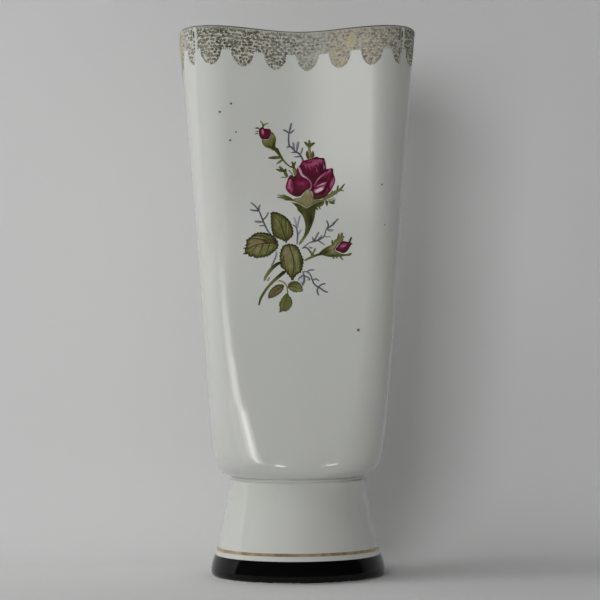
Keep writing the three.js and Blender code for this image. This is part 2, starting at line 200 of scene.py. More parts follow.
class Nodes:
    """A material's node tree, with short ways to add and join nodes."""

    def __init__(self, name):
        self.material = bpy.data.materials.new(name)
        self.material.use_nodes = True
        self.tree = self.material.node_tree
        self.shader = self.tree.nodes["Principled BSDF"]

    def put(self, socket, value):
        if isinstance(value, bpy.types.NodeSocket):
            self.tree.links.new(value, socket)
        else:
            socket.default_value = value

    def add(self, kind, inputs=None, **settings):
        node = self.tree.nodes.new(kind)
        for key, value in settings.items():
            setattr(node, key, value)
        for key, value in (inputs or {}).items():
            self.put(node.inputs[key], value)
        return node

    def set(self, **inputs):
        for key, value in inputs.items():
            self.put(self.shader.inputs[key.replace("_", " ")], value)

    def place(self):
        return self.add("ShaderNodeTexCoord").outputs["Object"]

    def attribute(self, name, output="Fac"):
        return self.add("ShaderNodeAttribute", attribute_name=name).outputs[output]

    def noise(self, scale, detail=2.0, roughness=0.5, place=None):
        inputs = {"Vector": place or self.place(), "Scale": scale, "Detail": detail, "Roughness": roughness}
        return self.add("ShaderNodeTexNoise", inputs).outputs["Fac"]

    def math(self, operation, first, second):
        return self.add("ShaderNodeMath", {0: first, 1: second}, operation=operation).outputs[0]

    def range(self, value, low, high, to_low=0.0, to_high=1.0):
        inputs = {"Value": value, "From Min": low, "From Max": high, "To Min": to_low, "To Max": to_high}
        return self.add("ShaderNodeMapRange", inputs).outputs["Result"]

    def ramp(self, value, *stops):
        node = self.add("ShaderNodeValToRGB", {"Fac": value})
        for stop in stops[2:]:
            node.color_ramp.elements.new(stop[0])
        for element, (place, colour) in zip(node.color_ramp.elements, stops):
            element.position = place
            element.color = (*colour, 1)
        return node.outputs["Color"]

    def mix(self, share, first, second):
        node = self.add("ShaderNodeMix", {0: share}, data_type="RGBA")
        for socket, value in ((6, first), (7, second)):
            self.put(node.inputs[socket], value if isinstance(value, bpy.types.NodeSocket) else (*value, 1))
        return node.outputs[2]

    def bump(self, height, distance, strength=1.0):
        inputs = {"Height": height, "Distance": distance, "Strength": strength}
        return self.add("ShaderNodeBump", inputs).outputs["Normal"]


# Dark specks fired into the glaze of the front: sideways place and height over the spray's zero, and
# radius, in millimetres.
GLAZE_SPECKS = (
    (-26.4, 45.9, 0.46), (-31.0, 42.8, 0.50), (-24.5, 35.1, 0.36), (-26.8, 32.0, 0.46),
    (32.6, 15.0, 0.34), (34.5, -0.4, 0.28), (22.6, -40.7, 0.60),
)


def speck_mask(nodes):
    """1 on a speck in the front's glaze, 0 elsewhere."""
    place = nodes.place()
    mask = None
    for x, y, radius in GLAZE_SPECKS:
        height = SPRAY_ZERO + y * MM
        angle = math.atan2(x * MM, half_width(height))
        spot = tuple(around(angle, vessel_radius(angle, height), height))
        apart = nodes.add("ShaderNodeVectorMath", {0: place, 1: spot}, operation="DISTANCE")
        dot = nodes.range(apart.outputs["Value"], radius * MM * 1.2, radius * MM * 0.5)
        mask = dot if mask is None else nodes.math("MAXIMUM", mask, dot)
    return mask


def porcelain_material():
    """Clear glossy glaze over slightly grey-green porcelain, with a faint waviness and a few specks."""
    nodes = Nodes("porcelain_glaze")
    tint = nodes.noise(14.0, 3.0)
    clay = nodes.ramp(tint, (0.3, (0.700, 0.715, 0.665)), (0.7, (0.735, 0.745, 0.705)))
    freckle = nodes.range(nodes.noise(900.0, 1.0), 0.80, 0.84)
    clay = nodes.mix(nodes.math("MULTIPLY", freckle, 0.35), clay, (0.30, 0.28, 0.22))
    colour = nodes.mix(speck_mask(nodes), clay, (0.03, 0.03, 0.03))
    ripple = nodes.noise(38.0, 1.0)
    nodes.set(
        Base_Color=colour,
        Roughness=0.12,
        IOR=1.5,
        Coat_Weight=0.35,
        Coat_Roughness=0.05,
        Normal=nodes.bump(ripple, 0.0003, 0.5),
    )
    return nodes.material


def black_material():
    """Glossy black enamel, thin and chipped at its lower edge."""
    nodes = Nodes("black_enamel")
    height = nodes.add("ShaderNodeSeparateXYZ", {0: nodes.place()}).outputs["Z"]
    near_edge = nodes.range(height, BLACK_LOW.z + 1.1 * MM, BLACK_LOW.z)
    chips = nodes.range(nodes.math("MULTIPLY", near_edge, nodes.noise(700.0, 3.0)), 0.40, 0.46)
    colour = nodes.mix(chips, (0.0035, 0.0035, 0.004), (0.30, 0.29, 0.26))
    smear = nodes.range(nodes.noise(60.0, 3.0), 0.3, 0.7, 0.06, 0.16)
    nodes.set(Base_Color=colour, Roughness=smear, Specular_IOR_Level=0.2)
    return nodes.material


def gold_material(name, dull, bright, roughness):
    """Fired gold, rubbed dull in places."""
    nodes = Nodes(name)
    wear = nodes.noise(300.0, 4.0)
    nodes.set(Base_Color=nodes.ramp(wear, (0.38, dull), (0.66, bright)), Metallic=0.5, Roughness=roughness)
    return nodes.material


def enamel_material(name, main, other, streaks, depth, roughness=0.22):
    """Painted enamel. Tone picks a colour from main; hue mixes in other; grain lays brush streaks."""
    nodes = Nodes(name)
    streak = nodes.noise(streaks, 2.0, 0.6, nodes.attribute("grain", "Vector"))
    swing = nodes.range(streak, 0.25, 0.75, -depth, depth)
    tone = nodes.math("ADD", nodes.attribute("tone"), swing)
    colour = nodes.mix(nodes.attribute("hue"), nodes.ramp(tone, *main), nodes.ramp(tone, *other))
    nodes.set(
        Base_Color=colour,
        Roughness=roughness,
        IOR=1.45,
        Normal=nodes.bump(streak, 0.00002, 0.6),
    )
    return nodes.material


def lace_material():
    """Worn gold: from dark olive to pale film as tone rises, and from brown over tan to gold by hue 1."""
    nodes = Nodes("lace_gold")
    glint = nodes.range(nodes.noise(1100.0, 2.0), 0.3, 0.7, -0.24, 0.24)
    tone = nodes.math("ADD", nodes.attribute("tone"), glint)
    olive = nodes.ramp(
        tone,
        (0.00, (0.075, 0.075, 0.042)),
        (0.25, (0.175, 0.175, 0.112)),
        (0.50, (0.330, 0.325, 0.230)),
        (0.92, (0.710, 0.710, 0.650)),
    )
    tan = nodes.ramp(
        tone,
        (0.00, (0.080, 0.062, 0.035)),
        (0.40, (0.330, 0.270, 0.195)),
        (0.70, (0.530, 0.450, 0.350)),
        (0.90, (0.720, 0.650, 0.550)),
        (1.00, (1.000, 0.860, 0.380)),
    )
    nodes.set(Base_Color=nodes.mix(nodes.attribute("hue"), olive, tan), Metallic=0.2, Roughness=0.4)
    return nodes.material


PORCELAIN = porcelain_material()
BLACK = black_material()
FOOT_GOLD = gold_material("foot_gold", (0.46, 0.36, 0.22), (0.74, 0.60, 0.38), 0.45)
RIM_GOLD = gold_material("rim_gold", (0.09, 0.085, 0.05), (0.25, 0.22, 0.12), 0.4)
LACE_GOLD = lace_material()

MAROON_TO_PINK = (
    (0.00, (0.040, 0.001, 0.006)),
    (0.22, (0.110, 0.002, 0.022)),
    (0.42, (0.260, 0.012, 0.070)),
    (0.62, (0.470, 0.120, 0.240)),
    (0.82, (0.740, 0.400, 0.520)),
    (1.00, (0.900, 0.700, 0.760)),
)
BROWN_TO_TAN = (
    (0.00, (0.035, 0.010, 0.001)),
    (0.35, (0.120, 0.060, 0.025)),
    (0.70, (0.330, 0.240, 0.150)),
    (1.00, (0.620, 0.530, 0.440)),
)
OLIVE_GREENS = (
    (0.00, (0.017, 0.017, 0.000)),
    (0.25, (0.075, 0.080, 0.008)),
    (0.50, (0.190, 0.200, 0.055)),
    (0.75, (0.350, 0.360, 0.160)),
    (1.00, (0.560, 0.560, 0.350)),
)
SLATES = (
    (0.00, (0.070, 0.068, 0.085)),
    (0.50, (0.270, 0.265, 0.290)),
    (1.00, (0.600, 0.600, 0.620)),
)
LAVENDERS = (
    (0.00, (0.120, 0.105, 0.190)),
    (0.50, (0.380, 0.350, 0.480)),
    (1.00, (0.660, 0.640, 0.720)),
)

ROSE = enamel_material("rose_enamel", MAROON_TO_PINK, BROWN_TO_TAN, 5.0, 0.10)
CRIMSON = enamel_material("crimson_enamel", MAROON_TO_PINK, BROWN_TO_TAN, 4.0, 0.08)
MOSS = enamel_material("moss_enamel", OLIVE_GREENS, BROWN_TO_TAN, 3.0, 0.12)
LEAF = enamel_material("leaf_enamel", OLIVE_GREENS, BROWN_TO_TAN, 4.0, 0.12)
SLATE = enamel_material("slate_enamel", SLATES, LAVENDERS, 3.0, 0.10, 0.3)


def finish_piece(piece, material, slot, *nodes):
    """Gives a piece its material, hangs it under the root body, and hides the CAD nodes it stands for."""
    piece.data.materials.append(material)
    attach(piece, "root")
    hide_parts(*nodes)
    return piece


# ---------------------------------------------------------------- vessel, joint and foot


def lip_arc(distance, end=0.0, steps=18):
    """Half-circle over the lip, at a distance from its surface, stopping short by an angle."""
    centre = TOP - LIP_RADIUS
    radius = LIP_RADIUS + distance
    side = half_width(centre) - LIP_RADIUS
    turns = np.linspace(end, math.pi - end, steps)
    return [(side + radius * math.cos(t), centre + radius * math.sin(t)) for t in turns]


def build_vessel():
    floor_top = NECK + FLOOR
    thin = LIP_RADIUS * 2
    shoulder = NECK + np.linspace(0, SHOULDER_SHARE, 48) * HEIGHT
    wall = np.linspace(shoulder[-1], TOP - LIP_RADIUS, 110)[1:-1]
    outside = [(half_width(z), z) for z in np.concatenate((shoulder, wall))]
    heights = np.linspace(TOP - LIP_RADIUS, NECK + SHOULDER_SHARE * HEIGHT, 60)[1:]
    thinning = np.clip((TOP - heights) / (THINNING_SHARE * HEIGHT), 0, 1)
    inside = [(half_width(z) - thin - (WALL - thin) * t, z) for z, t in zip(heights, thinning)]
    low_inside = inside[-1]
    bottom = rounded([
        low_inside,
        (0.93 * low_inside[0], floor_top + 0.38 * (low_inside[1] - floor_top)),
        (0.78 * low_inside[0], floor_top + 0.07 * (low_inside[1] - floor_top)),
        (0.45 * low_inside[0], floor_top),
    ], 16)
    underside = [(0, NECK), (0.4 * half_width(NECK), NECK), (0.9 * half_width(NECK), NECK)]
    outline = underside + outside + lip_arc(0) + inside
    outline += [tuple(p) for p in bottom[1:]] + [(0, floor_top)]
    return revolve("porcelain_vessel", outline, pressed)


def build_joint():
    """The bead of slip in the neck, drawn in a little at its middle."""
    low, high = JOINT_LOW.z, JOINT_HIGH.z
    widest = JOINT_HIGH.x
    outer = rounded([
        (0.993 * widest, low),
        (0.981 * widest, (low + high) / 2),
        (widest, high),
    ], 12)
    outline = [(0.7 * widest, low)] + [tuple(p) for p in outer] + [(0.7 * widest, high)]
    return revolve("slip_joint", outline, around)


# Outside of the foot: share of its height, share of its greatest radius.
FOOT_PROFILE = (
    (0.000, 0.968), (0.026, 0.991), (0.067, 1.000), (0.124, 0.991), (0.194, 0.968), (0.272, 0.936),
    (0.363, 0.913), (0.570, 0.864), (0.777, 0.8145), (0.881, 0.794), (1.000, 0.7797),
)
foot_radius = smooth_curve(
    [FOOT_HIGH.z * height for height, _ in FOOT_PROFILE],
    [FOOT_HIGH.x * radius for _, radius in FOOT_PROFILE],
)


def build_foot():
    height, widest = FOOT_HIGH.z, FOOT_HIGH.x
    heights = np.concatenate((np.linspace(0, 0.2, 26), np.linspace(0.2, 1, 50)[1:])) * height
    outside = [(foot_radius(z), z) for z in heights]
    recess = height - FOOT_WALL
    inside = rounded([
        (0.870 * widest, 0),
        (0.829 * widest, 0.10 * height),
        (0.806 * widest, 0.28 * height),
        (0.742 * widest, 0.60 * height),
        (0.667 * widest, recess - 0.06 * height),
        (0.551 * widest, recess),
        (0.348 * widest, recess),
    ], 40)[::-1]
    outline = [(0, recess)] + [tuple(p) for p in inside] + outside + [(0, height)]
    return revolve("porcelain_foot", outline, around)


def build_ring(name, low, high, steps):
    """A thin ring of enamel or gold on the foot, with softened edges."""
    heights = np.linspace(low, high, steps)
    swell = np.sqrt(np.clip(1 - np.linspace(-1, 1, steps) ** 8, 0, 1))
    outer = [(foot_radius(z) + (0.03 + 0.05 * s) * MM, z) for z, s in zip(heights, swell)]
    inner = [(foot_radius(z) + 0.01 * MM, z) for z in heights[::-1]]
    return revolve(name, outer + inner, around)


def build_gilding():
    """The gold on the crown of the lip."""
    outer = lip_arc(0.06 * MM, GILDING_END)
    inner = lip_arc(0.01 * MM, GILDING_END)[::-1]
    return revolve("lip_gilding", outer + inner, pressed)


finish_piece(build_vessel(), PORCELAIN, "porcelain", "vessel_body")
finish_piece(build_joint(), PORCELAIN, "porcelain", "neck_slip_joint")
finish_piece(build_foot(), PORCELAIN, "porcelain", "foot_pedestal")
black_band = build_ring("black_band", BLACK_LOW.z, BLACK_HIGH.z, 28)
finish_piece(black_band, BLACK, "black_enamel", "black_base_band")
gold_line = build_ring("gold_line", GOLD_LOW.z, GOLD_HIGH.z, 10)
finish_piece(gold_line, FOOT_GOLD, "foot_gold", "gold_foot_line")
finish_piece(build_gilding(), RIM_GOLD, "rim_gold", "rim_gilding")

# ---------------------------------------------------------------- fired-on sheets
#
# Enamel and lace are thin closed sheets, drawn flat in millimetres, x to the viewer's right and y up,
# then laid on the glaze. A sheet of a higher layer lies over those below it.

SHEET_GAP = 0.02
SHEET_THICKNESS = 0.015
LAYER_STEP = 0.02
PATCH_STEP = 0.32                      # between the points of a patch
TOOTH_PITCH = 1.3                      # between the saw teeth of a leaf's edge


def dabbed(x, y, tone, dabs):
    """A tone with soft dabs over it, each: x, y, turn in degrees, long reach, short reach, strength."""
    for middle_x, middle_y, turn, long, short, strength in dabs:
        cos, sin = math.cos(math.radians(turn)), math.sin(math.radians(turn))
        along = (x - middle_x) * cos + (y - middle_y) * sin
        across = (y - middle_y) * cos - (x - middle_x) * sin
        tone = tone + strength * np.exp(-((along / long) ** 2) - (across / short) ** 2)
    return tone


def curve_through(points, spacing, closed=False):
    """Points at an even spacing along a smooth curve through a few points."""
    points = np.array(points, float)
    count = len(points)
    if closed:
        points = np.concatenate((points[-2:], points, points[:3]))
    walk = np.concatenate(([0], np.cumsum(np.hypot(*np.diff(points, axis=0).T))))
    start, end = (walk[2], walk[count + 2]) if closed else (0, walk[-1])
    steps = max(3, int(round((end - start) / spacing)) + 1)
    at = np.linspace(start, end, steps)
    chain = np.stack([smooth_curve(walk, points[:, 0])(at), smooth_curve(walk, points[:, 1])(at)], axis=1)
    return chain[:-1] if closed else chain


def distance_to_outline(points, outline):
    """Distance of each point to a closed outline, and whether it lies inside."""
    start, end = outline, np.roll(outline, -1, axis=0)
    step = end - start
    offset = points[:, None] - start[None]
    share = np.clip((offset * step).sum(2) / (step**2).sum(1), 0, 1)
    nearest = np.hypot(*np.moveaxis(offset - share[..., None] * step, 2, 0)).min(1)
    above = (start[None, :, 1] > points[:, None, 1]) != (end[None, :, 1] > points[:, None, 1])
    rise = np.where(step[:, 1] == 0, 1e-12, step[:, 1])
    crossing = start[:, 0] + (points[:, None, 1] - start[:, 1]) / rise * step[:, 0]
    inside = (above & (points[:, None, 0] < crossing)).sum(1) % 2 == 1
    return nearest, inside


def toothed(edge, depth):
    """Saw teeth of a depth along a closed edge."""
    if not depth:
        return edge
    step = np.roll(edge, -1, axis=0) - np.roll(edge, 1, axis=0)
    area = (edge[:, 0] * np.roll(edge[:, 1], -1) - edge[:, 1] * np.roll(edge[:, 0], -1)).sum()
    outward = np.stack([step[:, 1], -step[:, 0]], axis=1) * np.sign(area)
    outward /= np.hypot(*outward.T)[:, None]
    walk = np.cumsum(np.hypot(*(edge - np.roll(edge, 1, axis=0)).T))
    share = walk / walk[-1] * max(1, round(walk[-1] / TOOTH_PITCH)) % 1
    return edge + outward * (depth * (share - 0.5))[:, None]


class Sheets:
    """The sheets of one motif. Each point has a tone, a hue, and a grain that brush streaks follow."""

    def __init__(self):
        self.points, self.faces, self.smooth = [], [], []
        self.tones, self.hues, self.grains = [], [], []

    def add(self, flat, triangles, tone, hue, grain, layer):
        """A closed sheet from flat points and its front's triangles."""
        start, count = len(self.points), len(flat)
        low = SHEET_GAP + LAYER_STEP * layer
        for lift in (low + SHEET_THICKNESS, low):
            self.points.extend((x, y, lift) for x, y in flat)
            self.tones.extend(np.broadcast_to(tone, count))
            self.hues.extend(np.broadcast_to(hue, count))
            self.grains.extend(grain)
        edges = {(t[i], t[(i + 1) % len(t)]) for t in triangles for i in range(len(t))}
        walls = [(b, a, a + count, b + count) for a, b in edges if (b, a) not in edges]
        backs = [tuple(i + count for i in reversed(t)) for t in triangles]
        for faces, smooth in ((triangles, True), (backs, True), (walls, False)):
            self.faces.extend(tuple(i + start for i in face) for face in faces)
            self.smooth.extend([smooth] * len(faces))

    def patch(self, outline, tone, dabs=(), hue=0.0, hue_dabs=(), root=None, rim=None, layer=0, teeth=0.0):
        """A filled patch. Streaks spread from root; rim is the width and the tone of its edge."""
        step = PATCH_STEP
        edge = toothed(curve_through(outline, step * 0.8, closed=True), teeth)
        low, high = edge.min(0), edge.max(0)
        columns, rows = np.meshgrid(
            np.arange(low[0], high[0], step), np.arange(low[1], high[1], step * 0.87))
        columns[1::2] += step / 2
        grid = np.stack([columns.ravel(), rows.ravel()], axis=1)
        depth, inside = distance_to_outline(grid, edge)
        grid = grid[inside & (depth > step * 0.45)]
        chain = [Vector(p) for p in np.concatenate((edge, grid))]
        ring = list(range(len(edge)))
        solved = delaunay_2d_cdt(chain, [], [ring], 1, 1e-5)
        flat = np.array([tuple(p) for p in solved[0]])
        triangles = [tuple(face) for face in solved[2]]
        turned = [np.cross(*(flat[list(t[1:3])] - flat[t[0]])) > 0 for t in triangles]
        triangles = [t if left else t[::-1] for t, left in zip(triangles, turned)]
        x, y = flat.T
        tones = dabbed(x, y, np.full(len(flat), float(tone)), dabs)
        hues = np.clip(dabbed(x, y, np.full(len(flat), float(hue)), hue_dabs), 0, 1)
        if rim:
            depth, _ = distance_to_outline(flat, edge)
            share = np.exp(-((depth / rim[0]) ** 2))
            tones = tones + (rim[1] - tones) * share
        root = np.array(root if root else flat.mean(0))
        away = np.hypot(*(flat - root).T)
        turn = np.arctan2(*(flat - root).T)
        grain = np.stack([turn * 2.5, away * 0.12, np.full(len(flat), layer * 3.7)], axis=1)
        self.add(flat, triangles, tones, hues, grain, layer)

    def stroke(self, path, widths, tones, hue=0.0, layer=0, spacing=0.3, dark_edge=0.0):
        """A brush stroke through a few points. Widths and tones run evenly from start to end."""
        middle = curve_through(path, spacing) if len(path) > 2 else np.array(path, float)
        if len(path) == 2:
            steps = max(3, int(np.hypot(*(middle[1] - middle[0])) / spacing) + 1)
            middle = middle[0] + (middle[1] - middle[0]) * np.linspace(0, 1, steps)[:, None]
        count = len(middle)
        share = np.linspace(0, 1, count)
        widths, tones = np.atleast_1d(widths), np.atleast_1d(tones)
        half = np.interp(share, np.linspace(0, 1, len(widths)), widths) / 2
        tone = np.interp(share, np.linspace(0, 1, len(tones)), tones)
        walk = share * np.hypot(*np.diff(middle, axis=0).T).sum()
        ends = np.clip(np.minimum(walk, walk[-1] - walk) / np.maximum(half, 0.05), 0, 1)
        half = half * np.sqrt(0.15 + 0.85 * ends)
        tangent = np.gradient(middle, axis=0)
        tangent /= np.hypot(*tangent.T)[:, None]
        side = np.stack([-tangent[:, 1], tangent[:, 0]], axis=1)
        flat = np.concatenate([middle + side * half[:, None] * s for s in (-1, 0, 1)])
        triangles = []
        for row in (0, count):
            for i in range(row, row + count - 1):
                triangles.append((i, i + 1, i + 1 + count, i + count))
        across, along = np.repeat((-1.0, 0.0, 1.0), count), np.tile(walk * 0.4, 3)
        grain = np.stack([across, along, np.full(3 * count, layer)], axis=1)
        tone = np.concatenate((tone - dark_edge, tone, tone - dark_edge))
        self.add(flat, triangles, tone, hue, grain, layer)

    def leaf(self, base, tip, swell, tones, layer=0):
        """A small pointed leaf, as a stroke that swells to a width and closes at its tip."""
        base, tip = np.array(base, float), np.array(tip, float)
        path = [tuple(base + (tip - base) * s) for s in (0, 0.35, 0.7, 1)]
        widths = swell * np.array((0.35, 0.9, 1, 0.8, 0.3))
        self.stroke(path, widths, tones, layer=layer, spacing=0.25)

    def strokes(self, rows, layer, scale=1.0, dark_edge=0.0, spacing=0.3):
        """Several strokes, each: path, widths, tones and hue."""
        for path, widths, tones, hue in rows:
            self.stroke(path, scale * np.array(widths), tones, hue, layer, spacing, dark_edge)

    def build(self, name, lay, material, slot, *nodes):
        """The motif as a piece, laid on the glaze by a function of x, y and lift."""
        x, y, lift = np.array(self.points, float).T
        piece = new_object(name, lay(x, y, lift), self.faces, self.smooth)
        mesh = piece.data
        for attribute, kind, field, values in (
            ("tone", "FLOAT", "value", self.tones),
            ("hue", "FLOAT", "value", self.hues),
            ("grain", "FLOAT_VECTOR", "vector", self.grains),
        ):
            data = mesh.attributes.new(attribute, kind, "POINT").data
            data.foreach_set(field, np.array(values, float).ravel())
        return finish_piece(piece, material, slot, *nodes)


def on_front(x, y, lift):
    """Lays flat points on the front, x from its middle line and y over the spray's zero height."""
    height = SPRAY_ZERO + y * MM
    angle = np.arctan2(x * MM, half_width(height))
    return around(angle, vessel_radius(angle, height) + lift * MM, height)


# ---------------------------------------------------------------- moss-rose spray


def rose_left_petals(art):
    """The bloom's dark ground and the two petals at its left."""
    art.patch([
        (-5.4, 13.9), (-4.8, 16.4), (-4.1, 17.9), (-2.6, 17.6), (-1.6, 19.2), (-0.8, 21.4), (0.2, 22.6),
        (0.9, 23.8), (3, 24.5), (5, 25), (6.4, 25.6), (8, 25), (9.2, 24.8), (9.8, 22.8), (10.1, 21),
        (11.2, 21.1), (12.4, 21.2), (12.7, 19.8), (13.3, 18.1), (13.6, 16.8), (12.9, 14.6), (11.9, 12.8),
        (10.6, 11.1), (9, 9.9), (7, 9.3), (5.3, 9.6), (5, 11.2), (4.4, 12.5), (2.6, 12.9), (1.4, 11.8),
        (0.2, 10.6), (-1.8, 10.5), (-3.6, 11.4), (-4.8, 12.5),
    ], 0.1, [(5.2, 12, 90, 1.2, 0.8, 0.3)], root=(2, 12), rim=(0.3, 0.16))
    art.patch([
        (-5.3, 13.8), (-4.9, 15.6), (-4.2, 17.5), (-3.3, 17.4), (-2.3, 15.8), (-2, 13.8), (-2.6, 11.5),
        (-4.2, 12),
    ], 0.38, [
        (-3.9, 15.9, 80, 1.9, 0.6, 0.34), (-3.6, 13.2, 110, 1.3, 0.7, 0.22),
        (-4.6, 12.2, 45, 1.4, 0.7, -0.25),
    ], root=(-1.4, 10.5), rim=(0.25, 0.12), layer=1)
    art.patch([
        (-0.8, 21.4), (0.5, 19.6), (1.3, 18.4), (2.7, 17.5), (3.9, 16.4), (4.3, 15), (4.1, 13.9),
        (3.2, 13.2), (1.8, 12.6), (1, 11.3), (0, 10.6), (-1.4, 10.5), (-2.8, 11.4), (-2.3, 13.2),
        (-2.6, 15.4), (-1.9, 17.8), (-1.3, 19.8),
    ], 0.19, [
        (0.9, 15.5, 0, 2.1, 1.2, 0.28), (-0.5, 18, 80, 1.7, 0.8, 0.13), (-0.8, 14.9, 90, 1.2, 0.5, 0.08),
        (-2.1, 14.6, 90, 1.4, 0.5, -0.12), (1.6, 13.6, 20, 1.2, 0.6, 0.12),
        (-0.6, 11.4, 0, 1.4, 0.7, -0.12),
    ], hue_dabs=[(0, 10.7, 0, 1.4, 0.6, 0.6)], root=(1, 9), rim=(0.22, 0.06), layer=2)


def rose_heart(art):
    """The round heart, its folds, and the rolled edges at its right and its left."""
    art.patch([
        (0.2, 22.5), (0.9, 20.4), (1.8, 18.8), (3, 17.9), (4.2, 16.6), (4.8, 14.8), (5.4, 14.8), (6, 16.5),
        (7.2, 18.1), (8.6, 19.5), (9.8, 20.6), (9.8, 22.6), (9.3, 24.3), (8.6, 24.8), (6.6, 25), (5, 24.8),
        (3.2, 24.3), (1.8, 23.9), (0.8, 23.6),
    ], 0.16, [
        (5, 24.6, 0, 5, 2.8, 0.36), (4.4, 22.5, 8, 2.6, 0.9, 0.16), (8.1, 24, -15, 1.2, 0.6, 0.16),
        (5.7, 23.3, 0, 1.2, 0.6, 0.08), (3.8, 23.5, 0, 1.3, 0.22, -0.3), (8.1, 21.6, 90, 1.5, 0.8, -0.2),
        (0.9, 21.2, 110, 1.4, 0.5, -0.12), (3, 20.9, 65, 1.5, 0.22, 0.14), (4.7, 20.9, 60, 1.5, 0.28, 0.2),
        (5.3, 19.6, 85, 1.6, 0.3, 0.12), (6.9, 19.6, 80, 1.2, 0.3, 0.12), (1.3, 22.9, 60, 0.8, 0.5, 0.12),
        (4.6, 17, 90, 1.4, 0.9, -0.06),
    ], root=(5, 13.5), rim=(0.2, 0.1), layer=3)
    art.stroke([(5.9, 22), (6.4, 21), (6.6, 20), (6.9, 19.2)], (0.2, 0.35, 0.2), (0.45, 0.6, 0.35),
        layer=4)
    art.stroke([(9, 22.8), (9.3, 21.7), (9.2, 20.6)], (0.25, 0.4, 0.25), (0.5, 0.74, 0.5), layer=4)
    for path in (
        [(1.9, 23.2), (2.3, 22), (2.7, 20.6)], [(3.3, 23), (3.7, 21.8), (4.3, 20.2)],
        [(4.9, 24.2), (4.9, 23), (5.2, 21.8)], [(6.7, 24.4), (6.9, 23.2), (7.1, 21.8)],
        [(7.9, 24.6), (8.2, 23.6), (8.3, 22.6)],
    ):
        art.stroke(path, (0.2, 0.42, 0.2), (0.5, 0.6, 0.4), layer=4)
    art.stroke([(6.2, 25.6), (7.2, 25.1), (8.2, 24.9), (9.1, 24.9), (9.5, 23.9), (9.8, 22.4), (9.9, 20.6)],
        (0.35, 0.5, 0.45, 0.4), (0.14, 0.05, 0.16), hue=0.35, layer=4)
    art.stroke([
        (-0.6, 22.2), (0.1, 20.5), (1, 18.6), (2.5, 17.6), (3.8, 16.5), (4.4, 15.1), (4.3, 13.9),
        (3.6, 13),
    ], (0.8, 0.95, 0.75, 0.55, 0.5, 0.5), (0.74, 0.8, 0.84, 0.62, 0.6, 0.72), layer=4)


def rose_right_petals(art):
    """The petals that overlap at the bloom's right, with their pale edges."""
    art.patch([
        (10, 12.4), (10.6, 14.4), (11.4, 16.2), (12.3, 17.9), (13.1, 18.1), (13.6, 17), (13.2, 15.2),
        (12.4, 13.5), (11.3, 12),
    ], 0.42, [(12.4, 15.6, 62, 2.2, 0.5, 0.22), (11, 14.6, 75, 1.8, 0.4, -0.28)], root=(9, 10),
        rim=(0.22, 0.3), layer=2)
    art.patch([
        (5.3, 14.4), (6, 16.2), (7.1, 17.8), (8.5, 19.1), (9.9, 20.4), (11.2, 21.1), (12.4, 21.1),
        (12.5, 19.8), (12, 18), (11.3, 16.4), (10.3, 15.5), (8.6, 15.2), (6.8, 14.4),
    ], 0.2, [
        (10.7, 19.5, 52, 2, 0.45, 0.42), (11.7, 19.6, 75, 1.6, 0.35, 0.25),
        (11, 20.9, 10, 0.9, 0.35, 0.35), (7, 15.2, 20, 1.6, 0.3, 0.12), (10.9, 17.4, 70, 1.4, 0.35, 0.14),
    ], root=(4.6, 12), rim=(0.2, 0.1), layer=4)
    art.stroke([(5.2, 13.8), (5.9, 15.3), (6.9, 16.9), (8.1, 18.1), (9, 18.9), (10, 19.9)],
        (0.35, 0.45, 0.6, 0.5, 0.35), (0.52, 0.6, 0.68, 0.64, 0.5), layer=5)
    art.stroke([(8.4, 18), (9.4, 18.7), (10.6, 20)], (0.3, 0.3), (0.5, 0.56), layer=5)
    art.stroke([(12.6, 21), (12.6, 19.8), (12.2, 18.2), (11.7, 16.8)], (0.4, 0.4, 0.25), (0.3, 0.16, 0.16),
        hue=0.3, layer=5)
    art.patch([
        (5.3, 10), (5.7, 11.3), (7.1, 11.6), (8.7, 12.2), (9.8, 13.4), (10.5, 14.6), (11.5, 13.6),
        (11, 11.8), (9.7, 10.4), (7.8, 9.6), (6.2, 9.4),
    ], 0.16, [(10.6, 13, 70, 1.5, 0.5, 0.24), (9.8, 11.4, 40, 1.2, 0.6, 0.1)],
        hue_dabs=[(6.4, 10.1, 15, 2.4, 0.8, 0.9)], root=(4.6, 9), rim=(0.2, 0.05), layer=5)
    art.patch([
        (5.3, 13.1), (6.2, 13.9), (7.6, 14.7), (9, 15.4), (10.1, 15.7), (9.9, 14.4), (9, 13), (7.6, 12),
        (6.3, 11.6), (5.5, 12.1),
    ], 0.6, [
        (7.9, 13.1, 25, 1.5, 0.65, 0.48), (6.4, 12.4, 30, 1.1, 0.5, 0.24),
        (7.4, 14.1, 25, 1.6, 0.22, -0.42), (9.6, 14.2, 70, 0.9, 0.3, -0.3),
    ], root=(4.4, 10.6), rim=(0.15, 0.4), layer=6)
    art.stroke([(5.9, 14.1), (7.2, 14.6), (8.6, 15.2), (10.2, 15.8)], (0.3, 0.55, 0.65, 0.45),
        (0.55, 0.72, 0.82, 0.66), layer=7)
    art.stroke([(5.3, 14.3), (4.9, 13.4), (4.5, 12.4)], (0.3, 0.6, 0.3), (0.12, 0.08, 0.2), layer=7)


def rose_bloom():
    """An open rose: a round heart, two petals at its left and overlapping petals at its right."""
    art = Sheets()
    rose_left_petals(art)
    rose_heart(art)
    rose_right_petals(art)
    art.build("rose_petals", on_front, ROSE, "rose_enamel", "rose_bloom")


